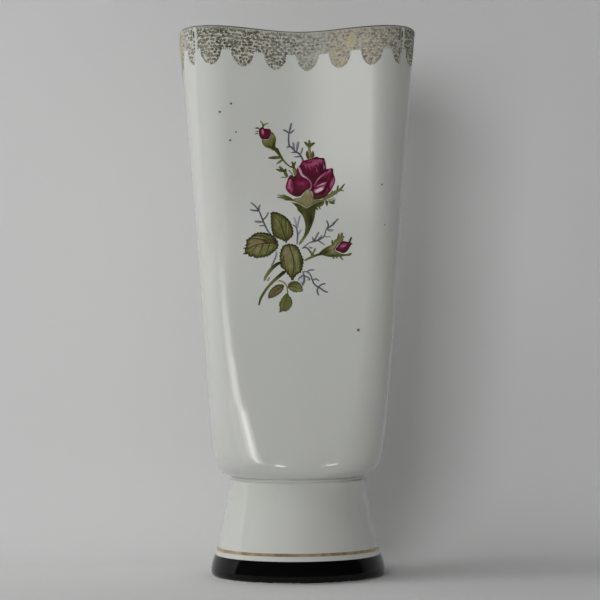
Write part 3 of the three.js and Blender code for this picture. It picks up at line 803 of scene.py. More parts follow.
def calyx_cup(art):
    """The olive cup under the bloom, and the dark trumpet of its stem."""
    art.patch([
        (-3.2, 8.2), (-1.6, 8), (0, 7.5), (1.4, 6.6), (2.6, 6), (4.2, 6.9), (6, 7.7), (8, 8.5), (9.4, 9.2),
        (8.8, 7.8), (7.4, 6.9), (6.2, 5.9), (5.9, 4.2), (5.5, 2), (4.9, 0.2), (4.2, -1.6), (3.5, -3.1),
        (2.6, -4.6), (1.6, -6), (0.6, -7.3), (-0.3, -7.9), (0, -6.6), (0.8, -5.5), (1.6, -4), (2, -2.4),
        (2.1, -0.4), (1.7, 1.4), (1.1, 3), (0.2, 4.2), (-0.8, 5.2), (-1.2, 6.2), (-2.2, 7.4),
    ], 0.22, [
        (4, 1.2, 90, 4.4, 0.8, -0.18), (1.6, 4.6, 100, 2.4, 0.7, 0.12), (5, 6.6, 10, 1.6, 0.7, -0.12),
        (0.6, -6.6, 60, 1.8, 0.9, 0.55), (2.4, -3.6, 70, 1.8, 0.4, 0.12), (-1, 7, 150, 1.6, 0.4, -0.04),
    ], root=(3.4, 14), rim=(0.2, 0.12), layer=1)
    art.patch([
        (-2.9, 9.2), (-1.4, 9.9), (0.4, 10.2), (1.3, 11.2), (2.1, 12.6), (3.4, 13.5), (4.3, 12.4),
        (4.9, 10.8), (5.3, 9.6), (6.6, 9.2), (8.4, 9.3), (10.2, 10.2), (12, 11.5), (12.6, 11.4),
        (11.2, 9.9), (9.4, 8.9), (7.2, 8.2), (5.4, 7.5), (3.9, 6.9), (2.6, 6.1), (1.5, 6.8), (0.2, 7.6),
        (-1.4, 8.2),
    ], 0.62, [
        (3.5, 9.5, 80, 2.4, 1.1, 0.02), (-1, 9.4, 5, 1.8, 0.5, 0.18), (2.8, 12.4, 70, 1, 0.6, 0.28),
        (4.6, 11.6, 100, 1, 0.3, 0.3), (6, 8.4, 20, 2, 0.4, -0.2), (0.6, 7.8, 150, 1.5, 0.3, -0.12),
    ], hue=0.25, hue_dabs=[
        (3.6, 10, 90, 2.4, 1.2, 0.35), (9, 9.4, 30, 2.4, 0.8, 0.45), (-2, 9.7, 0, 1, 0.4, 0.5),
    ], root=(3, 4), rim=(0.15, 0.5), layer=2)


def calyx_sepals(art):
    """Feathered sepals at the left, then at the right and below."""
    for path, width, tone in (
        ([(-1.8, 8.9), (-4.4, 9.3), (-6, 9.2)], 0.6, (0.5, 0.36)),
        ([(-2.8, 9.3), (-5.2, 10.5), (-6.6, 11.3)], 0.7, (0.46, 0.34, 0.6)),
        ([(-3.2, 9.2), (-6, 9.9), (-8.8, 10.3)], 0.75, (0.5, 0.45, 0.66)),
        ([(-5.4, 10.1), (-7.4, 10.9), (-8.7, 11.1)], 0.5, (0.42, 0.72)),
        ([(-4.6, 9.4), (-5, 8.8)], 0.4, (0.4, 0.5)),
    ):
        art.stroke(path, (1.1 * width, 1.3 * width, 0.5 * width), tone, layer=2, dark_edge=0.08)
    for path, width, tone in (
        ([(9, 9.4), (11.6, 10.8), (13.8, 12.2), (16.2, 13.2)], 1.25, (0.5, 0.55, 0.62, 0.7)),
        ([(13, 11.9), (14.4, 11.3)], 0.5, (0.5, 0.55)),
        ([(14.2, 12.4), (14.5, 13.6), (14.7, 14.8)], 0.6, (0.45, 0.35, 0.3)),
        ([(15, 12.8), (16.2, 14), (17.3, 15.3)], 0.6, (0.55, 0.5, 0.4)),
        ([(15.6, 12.9), (17, 12.5)], 0.4, (0.6, 0.6)),
        ([(12, 11.4), (12.6, 12.8)], 0.4, (0.5, 0.4)),
        ([(9.9, 9.1), (10.3, 8), (10.3, 6.8)], 0.85, (0.4, 0.28, 0.42)),
        ([(9.2, 8.7), (8.4, 7.4), (7.2, 6.6)], 0.8, (0.4, 0.3, 0.5)),
        ([(7.2, 7.2), (7.6, 6), (8, 5.5)], 0.5, (0.25, 0.4)),
        ([(6.2, 6), (7, 5.4)], 0.7, (0.2, 0.4)),
        ([(10.9, 8.8), (11.9, 8.2), (13.5, 7.8)], 0.8, (0.62, 0.3, 0.34)),
        ([(12.2, 8.2), (13, 8.8), (13.7, 9.3)], 0.55, (0.35, 0.35)),
        ([(10.8, 9.2), (12.4, 9.4), (13.4, 10.2)], 0.5, (0.78, 0.9)),
    ):
        art.stroke(path, (width, 1.25 * width, 0.6 * width), tone, layer=3, dark_edge=0.05)


def rose_calyx():
    art = Sheets()
    calyx_cup(art)
    calyx_sepals(art)
    art.build("rose_calyx_and_stem", on_front, MOSS, "moss_enamel", "rose_calyx_stem")


def moss_tufts():
    """Mossy prongs over the bloom and two tufts of moss at its left shoulder."""
    art = Sheets()
    art.strokes([
        ([(3.7, 29.8), (3.6, 28.2), (3.9, 26.2), (4, 24.7)],
         (0.9, 0.9, 1.3, 1.2), (0.6, 0.72, 0.66, 0.5), 0.1),
        ([(3.6, 29.2), (2.8, 30.2), (1.8, 31.3)], (0.8, 0.85, 0.5), (0.5, 0.34, 0.22), 0),
        ([(3.7, 29.4), (3.7, 30.7), (3.6, 32)], (0.9, 0.8, 0.5), (0.5, 0.42, 0.26), 0),
        ([(3.8, 29.4), (4.7, 30.3), (5.8, 30.9)], (0.8, 0.85, 0.5), (0.5, 0.36, 0.24), 0),
        ([(3.3, 24.6), (2.9, 26.2), (2.7, 27.8)], (0.5, 0.95, 0.4), (0.26, 0.28, 0.3), 0.4),
        ([(4.9, 24.8), (5.1, 26.4), (4.9, 27.8)], (0.5, 0.8, 0.4), (0.3, 0.3, 0.45), 0.3),
        ([(-1.7, 18.4), (-1.8, 20), (-2.4, 21.6)], (0.8, 1.3, 1), (0.5, 0.58, 0.45), 0.4),
        ([(-2.4, 21.2), (-2.4, 22.4), (-3.1, 23.8)], (0.9, 0.8, 0.5), (0.26, 0.24, 0.34), 0),
        ([(-2.2, 22.4), (-1.5, 23.8)], (0.7, 0.4), (0.26, 0.45), 0),
        ([(-3.7, 21.9), (-2.2, 21.6)], (0.5, 0.8), (0.4, 0.3), 0),
        ([(-9, 20.9), (-7.4, 20.4), (-5.6, 20.2)], (0.4, 0.8, 0.7), (0.3, 0.26, 0.26), 0),
        ([(-7.8, 22), (-6.9, 20.9), (-6, 20)], (0.5, 0.95, 0.7), (0.3, 0.4, 0.36), 0),
        ([(-5.3, 21.1), (-5.6, 19.8), (-5.2, 18.8), (-4.5, 17.9)],
         (0.7, 0.9, 1, 0.5), (0.14, 0.36, 0.46, 0.36), 0),
        ([(-6.2, 19), (-5.2, 18.9)], (0.3, 0.5), (0.6, 0.44), 0),
        ([(-4.3, 20.6), (-3.4, 19.7), (-2.7, 18.7)], (0.35, 0.35), (0.5, 0.5), 0.2),
        ([(-7.2, 17.8), (-5, 17.8)], (0.35, 0.4), (0.62, 0.56), 0.2),
        ([(-4, 18), (-3.1, 18.1), (-2.2, 17.4)], (0.6, 1, 0.6), (0.2, 0.16, 0.2), 0.7),
    ], 5, scale=1.25, dark_edge=0.06)
    art.build("moss_tufts", on_front, MOSS, "moss_enamel", "rose_moss_crown")


def upper_bud_petals():
    petals = Sheets()
    petals.patch([
        (-15.6, 34.8), (-15.4, 36.2), (-14.4, 36.9), (-13.2, 36.3), (-12.2, 36.3), (-11.2, 36),
        (-10.9, 34.8), (-11.2, 33.4), (-11.8, 32.4), (-13, 32.2), (-14.6, 32.4), (-15.3, 33.5),
    ], 0.2, [
        (-14.1, 35.2, 95, 1.3, 0.5, 0.6), (-11.6, 34.8, 90, 1.2, 0.5, 0.1), (-13, 35, 90, 1.4, 0.2, -0.06),
        (-12.9, 36.3, 0, 0.5, 0.35, -0.12), (-13.6, 32.6, 0, 1.6, 0.4, -0.1),
    ], hue_dabs=[(-13, 36.4, 0, 0.5, 0.3, 0.6), (-13.2, 32.4, 0, 1.2, 0.3, 0.5)], root=(-13.2, 31),
        rim=(0.38, 0.02), layer=2)
    petals.build("upper_bud", on_front, CRIMSON, "crimson_enamel", "upper_bud_petals")


def upper_bud_stem():
    """The upper bud's calyx, its stem with two small leaves, and the hairs over its tip."""
    green = Sheets()
    green.patch([
        (-14.4, 32.1), (-13.2, 31.9), (-11.8, 32.2), (-11, 33.4), (-10.7, 35.1), (-9.7, 34.1), (-9, 32.4),
        (-9.2, 30.8), (-9.2, 29.4), (-8.6, 28.2), (-9.8, 27.9), (-11.4, 28.7), (-13, 29.3), (-14.1, 30.4),
    ], 0.46, [
        (-9.9, 30, 80, 2.2, 0.7, -0.36), (-12.8, 31.4, 5, 1.3, 0.4, 0.12),
        (-10.3, 33.4, 70, 1.2, 0.4, 0.12), (-11.2, 29.4, -20, 1.6, 0.4, -0.22),
    ], hue_dabs=[(-12.6, 31.6, 0, 1.6, 0.5, 0.5)], root=(-9, 27), rim=(0.2, 0.26), layer=1)
    green.stroke([(-9.4, 29), (-8.2, 27.2), (-7.2, 25.6), (-6.2, 24.2), (-4.9, 22.8), (-3.4, 21.6)],
        (1.9, 1.3, 1, 0.7, 0.6, 0.5), (0.1, 0.22, 0.34, 0.4, 0.42, 0.4), layer=1, dark_edge=0.1)
    green.leaf((-6.8, 25.4), (-12.1, 25.2), 1.2, (0.45, 0.36, 0.24, 0.26), layer=1)
    green.leaf((-6.4, 24.6), (-9, 22.8), 1, (0.4, 0.5, 0.72), layer=1)
    green.strokes([
        ([(-14, 36.7), (-14, 37.8), (-15.1, 39.4)], (0.7, 0.55, 0.3), (0.2, 0.3, 0.45), 0.25),
        ([(-13.8, 37.4), (-13, 38.1), (-11.9, 38.4)], (0.5, 0.55, 0.4), (0.4, 0.62, 0.72), 0.25),
        ([(-15.4, 36.2), (-16.2, 36.6), (-17, 36.4)], (0.5, 0.6, 0.4), (0.3, 0.36, 0.55), 0.25),
        ([(-15.7, 35.3), (-17, 35.2)], (0.5, 0.4), (0.5, 0.7), 0.25),
        ([(-15.8, 34.5), (-17.2, 34.3)], (0.5, 0.4), (0.4, 0.6), 0.25),
    ], 3)
    green.build("upper_bud_green", on_front, MOSS, "moss_enamel", "upper_bud_stem")


def side_bud_petals():
    petals = Sheets()
    petals.patch([
        (13.6, -9.9), (14.6, -8.4), (15.6, -7.2), (16.7, -6.6), (18, -6.8), (19.3, -7), (20, -7.6),
        (19.4, -8.5), (18.7, -9.7), (17.7, -10.8), (16.6, -11.2), (15.2, -10.7), (14.3, -10.4),
    ], 0.22, [
        (16.4, -8.3, 20, 1.4, 0.8, 0.42), (17.4, -8.2, 35, 1, 0.16, 0.26),
        (16.4, -9.2, 35, 0.9, 0.16, 0.12), (18.2, -7.5, 10, 0.9, 0.2, 0.16),
        (17, -10.4, 10, 1.4, 0.4, -0.12), (17.9, -9, 45, 1.4, 0.3, -0.1),
    ], root=(13.4, -10.4), rim=(0.42, 0.02), layer=2)
    petals.build("side_bud", on_front, CRIMSON, "crimson_enamel", "side_bud_petals")


def side_bud_stem():
    """The side bud's calyx and stem, with their prickles."""
    green = Sheets()
    green.patch([
        (7.4, -11.2), (8.6, -9.9), (10, -8.9), (11.6, -8.2), (12.6, -7.4), (13.2, -6.4), (14.4, -5.4),
        (15.4, -4.6), (16.4, -5.2), (16.6, -6.4), (15.2, -7.4), (14, -8.8), (13.4, -9.9), (14.6, -10.9),
        (16.6, -11.5), (18.2, -11.5), (19.9, -11.1), (19.7, -11.9), (17.2, -12.3), (14.8, -12.6),
        (12.4, -12.7), (10.2, -12.4), (8.8, -12),
    ], 0.48, [
        (9.2, -10.9, 25, 1.9, 1.2, -0.4), (12.4, -9.8, 90, 1.4, 1, 0.18), (13.4, -8.4, 60, 1.2, 0.3, 0.3),
        (13, -12.1, 0, 3, 0.4, -0.36), (15.4, -5.8, 60, 1.2, 0.6, 0.08), (18.6, -11.7, 0, 1.2, 0.4, -0.02),
    ], hue_dabs=[(12.6, -9.4, 80, 1.8, 1, 0.75), (15, -11.2, 0, 1.4, 0.3, 0.6)], root=(7, -11.6),
        rim=(0.2, 0.26), layer=1)
    green.stroke([(8.6, -11.3), (6.8, -11.8), (4.8, -12.5), (3.2, -13.2), (1.7, -14)],
        (1.1, 0.85, 0.85, 0.8, 0.5), (0.12, 0.24, 0.42, 0.46, 0.5), layer=1, dark_edge=0.08)
    green.strokes([
        ([(14.2, -6.4), (14.8, -4.9), (15, -3.5)], (0.7, 0.7, 0.4), (0.5, 0.4, 0.5), 0.2),
        ([(15.2, -5.8), (16, -4.4), (16.2, -3.3)], (0.9, 0.9, 0.5), (0.6, 0.48, 0.3), 0.2),
        ([(16.2, -5.6), (17.1, -4.6)], (0.6, 0.4), (0.56, 0.6), 0.2),
        ([(12.4, -7.6), (12.4, -6.1)], (0.7, 0.5), (0.3, 0.4), 0.2),
        ([(19, -7.2), (19.4, -6.1), (19.9, -5)], (0.6, 0.65, 0.5), (0.16, 0.2, 0.1), 0.1),
        ([(19.2, -7.4), (20.1, -7.7)], (0.6, 0.6), (0.1, 0.1), 0.2),
        ([(12.8, -12.4), (12.9, -13.5)], (0.7, 0.5), (0.36, 0.5), 0),
        ([(13.8, -12.4), (14.4, -13.3)], (0.6, 0.4), (0.36, 0.55), 0),
        ([(15.2, -12.3), (15.9, -13.1), (16.6, -13.9)], (0.6, 0.5, 0.4), (0.36, 0.45, 0.6), 0),
        ([(4.6, -12.4), (4.7, -11)], (1.2, 1.1), (0.46, 0.5), 0),
        ([(4.9, -11.4), (5.6, -10), (6, -9.1)], (0.6, 0.6, 0.4), (0.46, 0.5, 0.66), 0),
        ([(4.4, -11.4), (4.1, -10.2)], (0.5, 0.4), (0.4, 0.5), 0),
    ], 3, scale=1.2, dark_edge=0.04)
    green.build("side_bud_green", on_front, MOSS, "moss_enamel", "side_bud_stem")


def upper_leaf():
    art = Sheets()
    art.patch([
        (-11, 4.5), (-9.4, 4.6), (-7.8, 4.1), (-6, 3.2), (-4.5, 1.9), (-3.4, 0.4), (-2.7, -1.6),
        (-2.5, -3.4), (-3, -4.8), (-4.2, -5.9), (-5.3, -6.8), (-7.2, -5.9), (-8.8, -5.3), (-10, -4.4),
        (-10.7, -2.8), (-11, -0.8), (-11.1, 1.6),
    ], 0.42, [
        (-8.7, 0.4, 100, 2.6, 0.9, 0.14), (-4.2, -0.6, 75, 2.6, 0.4, 0.12), (-3, -3, 85, 2, 0.4, 0.22),
        (-6.6, 2.6, -30, 2, 0.7, -0.1), (-9.6, -4, 60, 1.5, 0.6, -0.12),
    ], hue_dabs=[(-8.6, 0, 95, 2.6, 1.2, 0.35), (-3, -3, 85, 2, 0.6, 0.35)], root=(-5.2, -8),
        rim=(0.75, 0), layer=1, teeth=0.34)
    art.strokes([
        ([(-5.3, -6.6), (-6.3, -3), (-7.8, 0.6), (-10.6, 4.2)], (0.5, 0.4, 0.25), (0.14, 0.22, 0.24), 0.1),
        ([(-5.2, -6), (-5.3, -2.4), (-5.4, 1.8)], (0.35, 0.3), (0.2, 0.26), 0),
        ([(-5, -6), (-4.3, -3), (-4.4, 0.6)], (0.3, 0.25), (0.22, 0.28), 0),
        ([(-6, -4.4), (-6.9, -0.6), (-7, 2.8)], (0.3, 0.25), (0.22, 0.28), 0),
        ([(-6.6, -4.6), (-8.4, -3.4), (-10.2, -2)], (0.35, 0.3), (0.22, 0.26), 0),
        ([(-6.2, -5.2), (-8, -4.8), (-9.8, -3.8)], (0.3, 0.25), (0.24, 0.28), 0),
        ([(-4.8, 1), (-4.8, -1.6), (-4.8, -4)], (0.25, 0.3), (0.62, 0.56), 0.1),
        ([(-5.9, 2.2), (-6.1, -0.4), (-5.8, -2.6)], (0.25, 0.25), (0.56, 0.5), 0.1),
    ], 2)
    art.stroke([(-5.3, -6.4), (-5.2, -7.4)], (0.6, 0.5), (0.16, 0.3), layer=1)
    art.build("upper_leaf", on_front, LEAF, "leaf_enamel", "leaf_upper")


def left_leaf():
    art = Sheets()
    art.patch([
        (-8.3, -7.3), (-8.9, -5.9), (-9.8, -4.7), (-11, -3.9), (-12.6, -3.4), (-14.4, -3.1), (-16.4, -3.2),
        (-17.8, -3.8), (-19, -4.8), (-20.8, -6.3), (-20.4, -7.3), (-21.1, -8), (-20.8, -8.6),
        (-21.6, -9.2), (-21, -9.9), (-21.7, -11.5), (-20.2, -11.4), (-19.2, -12.5), (-18.1, -12.2),
        (-17, -13), (-15.4, -12.8), (-13.6, -12.6), (-12, -12.1), (-10.6, -11.1), (-9.2, -10),
        (-8.3, -8.8),
    ], 0.5, [
        (-17.6, -7.6, 10, 2.8, 1, 0.14), (-16.8, -10, 20, 2.2, 0.9, 0.14),
        (-9.6, -6, 120, 1.8, 1.1, -0.42), (-15.6, -3.8, 0, 4.4, 0.8, -0.3),
        (-12.6, -6.2, -10, 1.8, 0.8, -0.3), (-20.4, -11, 60, 1.2, 0.8, -0.16),
        (-11, -9.4, 40, 1.6, 0.8, 0.02),
    ], hue_dabs=[(-17, -7.4, 5, 3.4, 1.3, 0.85), (-14.4, -9, 20, 2.4, 1, 0.25)], root=(-7, -7.2),
        rim=(0.75, 0), layer=1, teeth=0.45)
    art.strokes([
        ([(-8.4, -7.3), (-11, -7.2), (-14, -7.4), (-16.4, -7.8), (-18.4, -8.5), (-20.6, -9.8)],
         (0.4, 0.45, 0.4, 0.3), (0.06, 0.1, 0.22, 0.26), 0.8),
        ([(-12.6, -7), (-14.4, -6), (-17, -5.5), (-19.4, -5.8)], (0.45, 0.4, 0.3), (0.1, 0.14, 0.22), 0.4),
        ([(-14, -5.6), (-16.4, -5), (-18.6, -5.2)], (0.35, 0.4, 0.3), (0.66, 0.7, 0.62), 0.7),
        ([(-10.8, -6.6), (-12.8, -5), (-15.8, -4.2)], (0.4, 0.35, 0.3), (0.08, 0.12, 0.2), 0),
        ([(-11.4, -5.2), (-13.6, -4.2), (-16.4, -3.9)], (0.3, 0.35, 0.3), (0.44, 0.5, 0.44), 0.2),
        ([(-14, -7.6), (-14.7, -9.4), (-15.8, -11.4)], (0.4, 0.35, 0.3), (0.22, 0.18, 0.14), 0.8),
        ([(-16.4, -8), (-17.6, -9.4), (-18.6, -11)], (0.35, 0.3, 0.25), (0.26, 0.22, 0.2), 0.7),
        ([(-11.6, -7.6), (-12.3, -9.6), (-13, -11.6)], (0.4, 0.35, 0.3), (0.12, 0.16, 0.14), 0.3),
        ([(-9.8, -7.6), (-10.2, -9), (-10.8, -10.6)], (0.3, 0.3), (0.16, 0.2), 0.2),
        ([(-18.4, -7.4), (-19.6, -7.6), (-20.6, -8.2)], (0.3, 0.25), (0.3, 0.2), 0.5),
    ], 2)
    art.build("left_leaf", on_front, LEAF, "leaf_enamel", "leaf_left")


def lower_leaf():
    art = Sheets()
    art.patch([
        (-5, -7.6), (-3, -7.7), (-1.4, -8.2), (-0.4, -9.4), (0.2, -10.9), (0.8, -12.3), (1.4, -13.8),
        (1.2, -15.6), (0.8, -17.4), (0.2, -18.6), (-1, -19.2), (-2, -20.3), (-3, -21.6), (-3.8, -20.4),
        (-5, -19), (-6, -17.6), (-6.9, -16.2), (-7.6, -14.4), (-7.8, -12.2), (-7.4, -10), (-6.5, -8.4),
    ], 0.54, [
        (-4.8, -11, 80, 2.8, 1.2, 0.08), (0.4, -14.6, 95, 3.6, 0.6, -0.4), (-1.6, -12.6, 80, 3, 0.6, 0.08),
        (-3, -19.8, 90, 1.8, 1, -0.22), (-6.8, -14.6, 70, 2.4, 0.5, -0.22),
        (-4.4, -16.4, 85, 2, 0.7, 0.08), (-1, -9, 30, 1.4, 0.5, -0.26),
    ], hue_dabs=[(-4.6, -11.4, 80, 3.6, 1.3, 0.9), (-1.4, -12, 80, 2.6, 0.7, 0.3)], root=(-3.8, -5),
        rim=(0.7, 0), layer=2, teeth=0.45)
    art.strokes([
        ([(-4.2, -8.2), (-3.4, -10.4), (-2.7, -12.6), (-2.3, -15), (-2.4, -17.4), (-2.9, -19.8)],
         (0.4, 0.45, 0.45, 0.3), (0.16, 0.12, 0.12, 0.1), 0.75),
        ([(-6.2, -12), (-6.1, -14.2), (-5.4, -17)], (0.3, 0.4, 0.3), (0.22, 0.18, 0.2), 0.6),
        ([(-3.4, -14.6), (-3.6, -17), (-3.6, -19)], (0.3, 0.35, 0.25), (0.66, 0.6, 0.4), 0.2),
        ([(-4.6, -14.6), (-4.6, -16.6), (-4.2, -18.6)], (0.25, 0.3, 0.25), (0.32, 0.28, 0.2), 0.2),
        ([(-1.6, -11), (-1.2, -13.6), (-1.2, -16.8)], (0.3, 0.35, 0.25), (0.66, 0.62, 0.4), 0.1),
        ([(-0.4, -11), (0, -13.6), (-0.2, -17)], (0.3, 0.3, 0.25), (0.3, 0.22, 0.16), 0),
        ([(-1.9, -14), (-1.8, -16.6), (-2, -18.6)], (0.25, 0.3, 0.2), (0.28, 0.24, 0.2), 0.2),
    ], 3)
    art.build("lower_leaf", on_front, LEAF, "leaf_enamel", "leaf_lower")


def leaflets():
    art = Sheets()
    art.stroke([(-8.4, -21.7), (-7, -21.8), (-5.9, -22.6), (-5, -23.8), (-4.9, -25), (-4.7, -26.8)],
        (0.4, 0.5, 0.5, 0.45), (0.5, 0.5, 0.56, 0.36), layer=1)
    art.patch([
        (-6.2, -23.3), (-7.4, -23), (-8.8, -23.2), (-10.2, -24), (-11.4, -25.2), (-12.1, -26.6),
        (-12.2, -28.3), (-10.8, -28.2), (-9.4, -27.6), (-7.8, -26.6), (-6.6, -25.2),
    ], 0.42, [(-9.4, -23.8, 25, 2.4, 0.5, -0.2), (-9, -26, 35, 2, 0.7, 0.06)], hue=0.35,
        hue_dabs=[(-9.8, -26.4, 40, 2.6, 1, 0.5)], root=(-5.4, -22.4), rim=(0.4, 0.16), layer=2,
        teeth=0.25)
    art.patch([
        (-4.7, -23.7), (-4, -22.4), (-2.6, -21.8), (-1.2, -21.9), (0, -22.7), (0.8, -24.1), (1, -25.7),
        (-0.4, -25.9), (-2, -26.1), (-3.4, -25.5), (-4.4, -24.7),
    ], 0.46, [
        (-2.8, -22.8, 10, 1.8, 0.5, -0.26), (-1.4, -24.6, 0, 1.6, 0.6, 0.04),
        (0, -25.4, 0, 1.4, 0.4, 0.26), (-3, -24.4, 20, 1, 0.4, 0.1),
    ], root=(-5.6, -23.6), rim=(0.35, 0.22), layer=1, teeth=0.25)
    art.patch([
        (-5, -26.4), (-4.3, -27.3), (-3.4, -28.3), (-3, -29.7), (-3.2, -31.2), (-4.2, -32.6),
        (-5.4, -33.4), (-6.8, -33.3), (-7.8, -33.8), (-7.8, -32.2), (-8, -30.4), (-7.2, -28.8),
        (-6.2, -27.4),
    ], 0.4, [(-4.4, -29.4, 80, 2, 0.7, 0.06), (-7, -31.6, 80, 1.6, 0.6, 0.06)],
        hue_dabs=[(-7, -32.6, 0, 1.4, 0.9, 0.4)], root=(-4.7, -25.6), rim=(0.35, 0.2), layer=2, teeth=0.25)
    art.strokes([
        ([(-6.4, -23.6), (-8.6, -25), (-11.6, -27.8)], (0.35, 0.35, 0.25), (0.16, 0.24, 0.3), 0.5),
        ([(-7.6, -24.2), (-9.6, -24.4), (-11, -25.4)], (0.25, 0.3, 0.2), (0.5, 0.52, 0.5), 0.5),
        ([(-4.6, -23.7), (-2.8, -23.9), (-0.6, -24.6)], (0.35, 0.35, 0.25), (0.14, 0.2, 0.34), 0),
        ([(-5, -26.6), (-5.3, -29), (-6.6, -32.4)], (0.3, 0.35, 0.25), (0.26, 0.3, 0.34), 0),
        ([(-4.8, -28), (-4.2, -29.6), (-4.6, -31.6)], (0.25, 0.25), (0.3, 0.34), 0),
    ], 3)
    art.build("lower_leaflets", on_front, LEAF, "leaf_enamel", "leaflet_cluster")


def lower_stems():
    """Two cut stems under the leaves, dark at the top and grey-green at the cut."""
    art = Sheets()
    art.stroke([(-7, -14.6), (-8.8, -15.3), (-10.6, -16.8), (-12, -18.4), (-13, -19.8), (-13.8, -21.7)],
        (1.1, 1.2, 1.3, 1.3, 1.1, 0.7), (0.06, 0.1, 0.34, 0.52, 0.58, 0.66), layer=0, dark_edge=0.14)
    art.stroke([(-7.4, -15.4), (-6.9, -16.2), (-6.3, -17)], (0.9, 0.9, 0.6), (0.06, 0.06, 0.1), layer=0)
    art.stroke([
        (-5.6, -18), (-7.4, -19.4), (-9.4, -21.1), (-11.2, -22.8), (-12.6, -24.4), (-14, -26.4),
        (-15.2, -28.6), (-15.9, -31.1),
    ], (1.3, 1.3, 1.2, 1, 0.95, 0.95, 0.9, 0.55), (0.06, 0.12, 0.42, 0.5, 0.4, 0.36, 0.34, 0.22), layer=1,
        dark_edge=0.12)
    art.build("cut_stems", on_front, MOSS, "moss_enamel", "lower_stem")


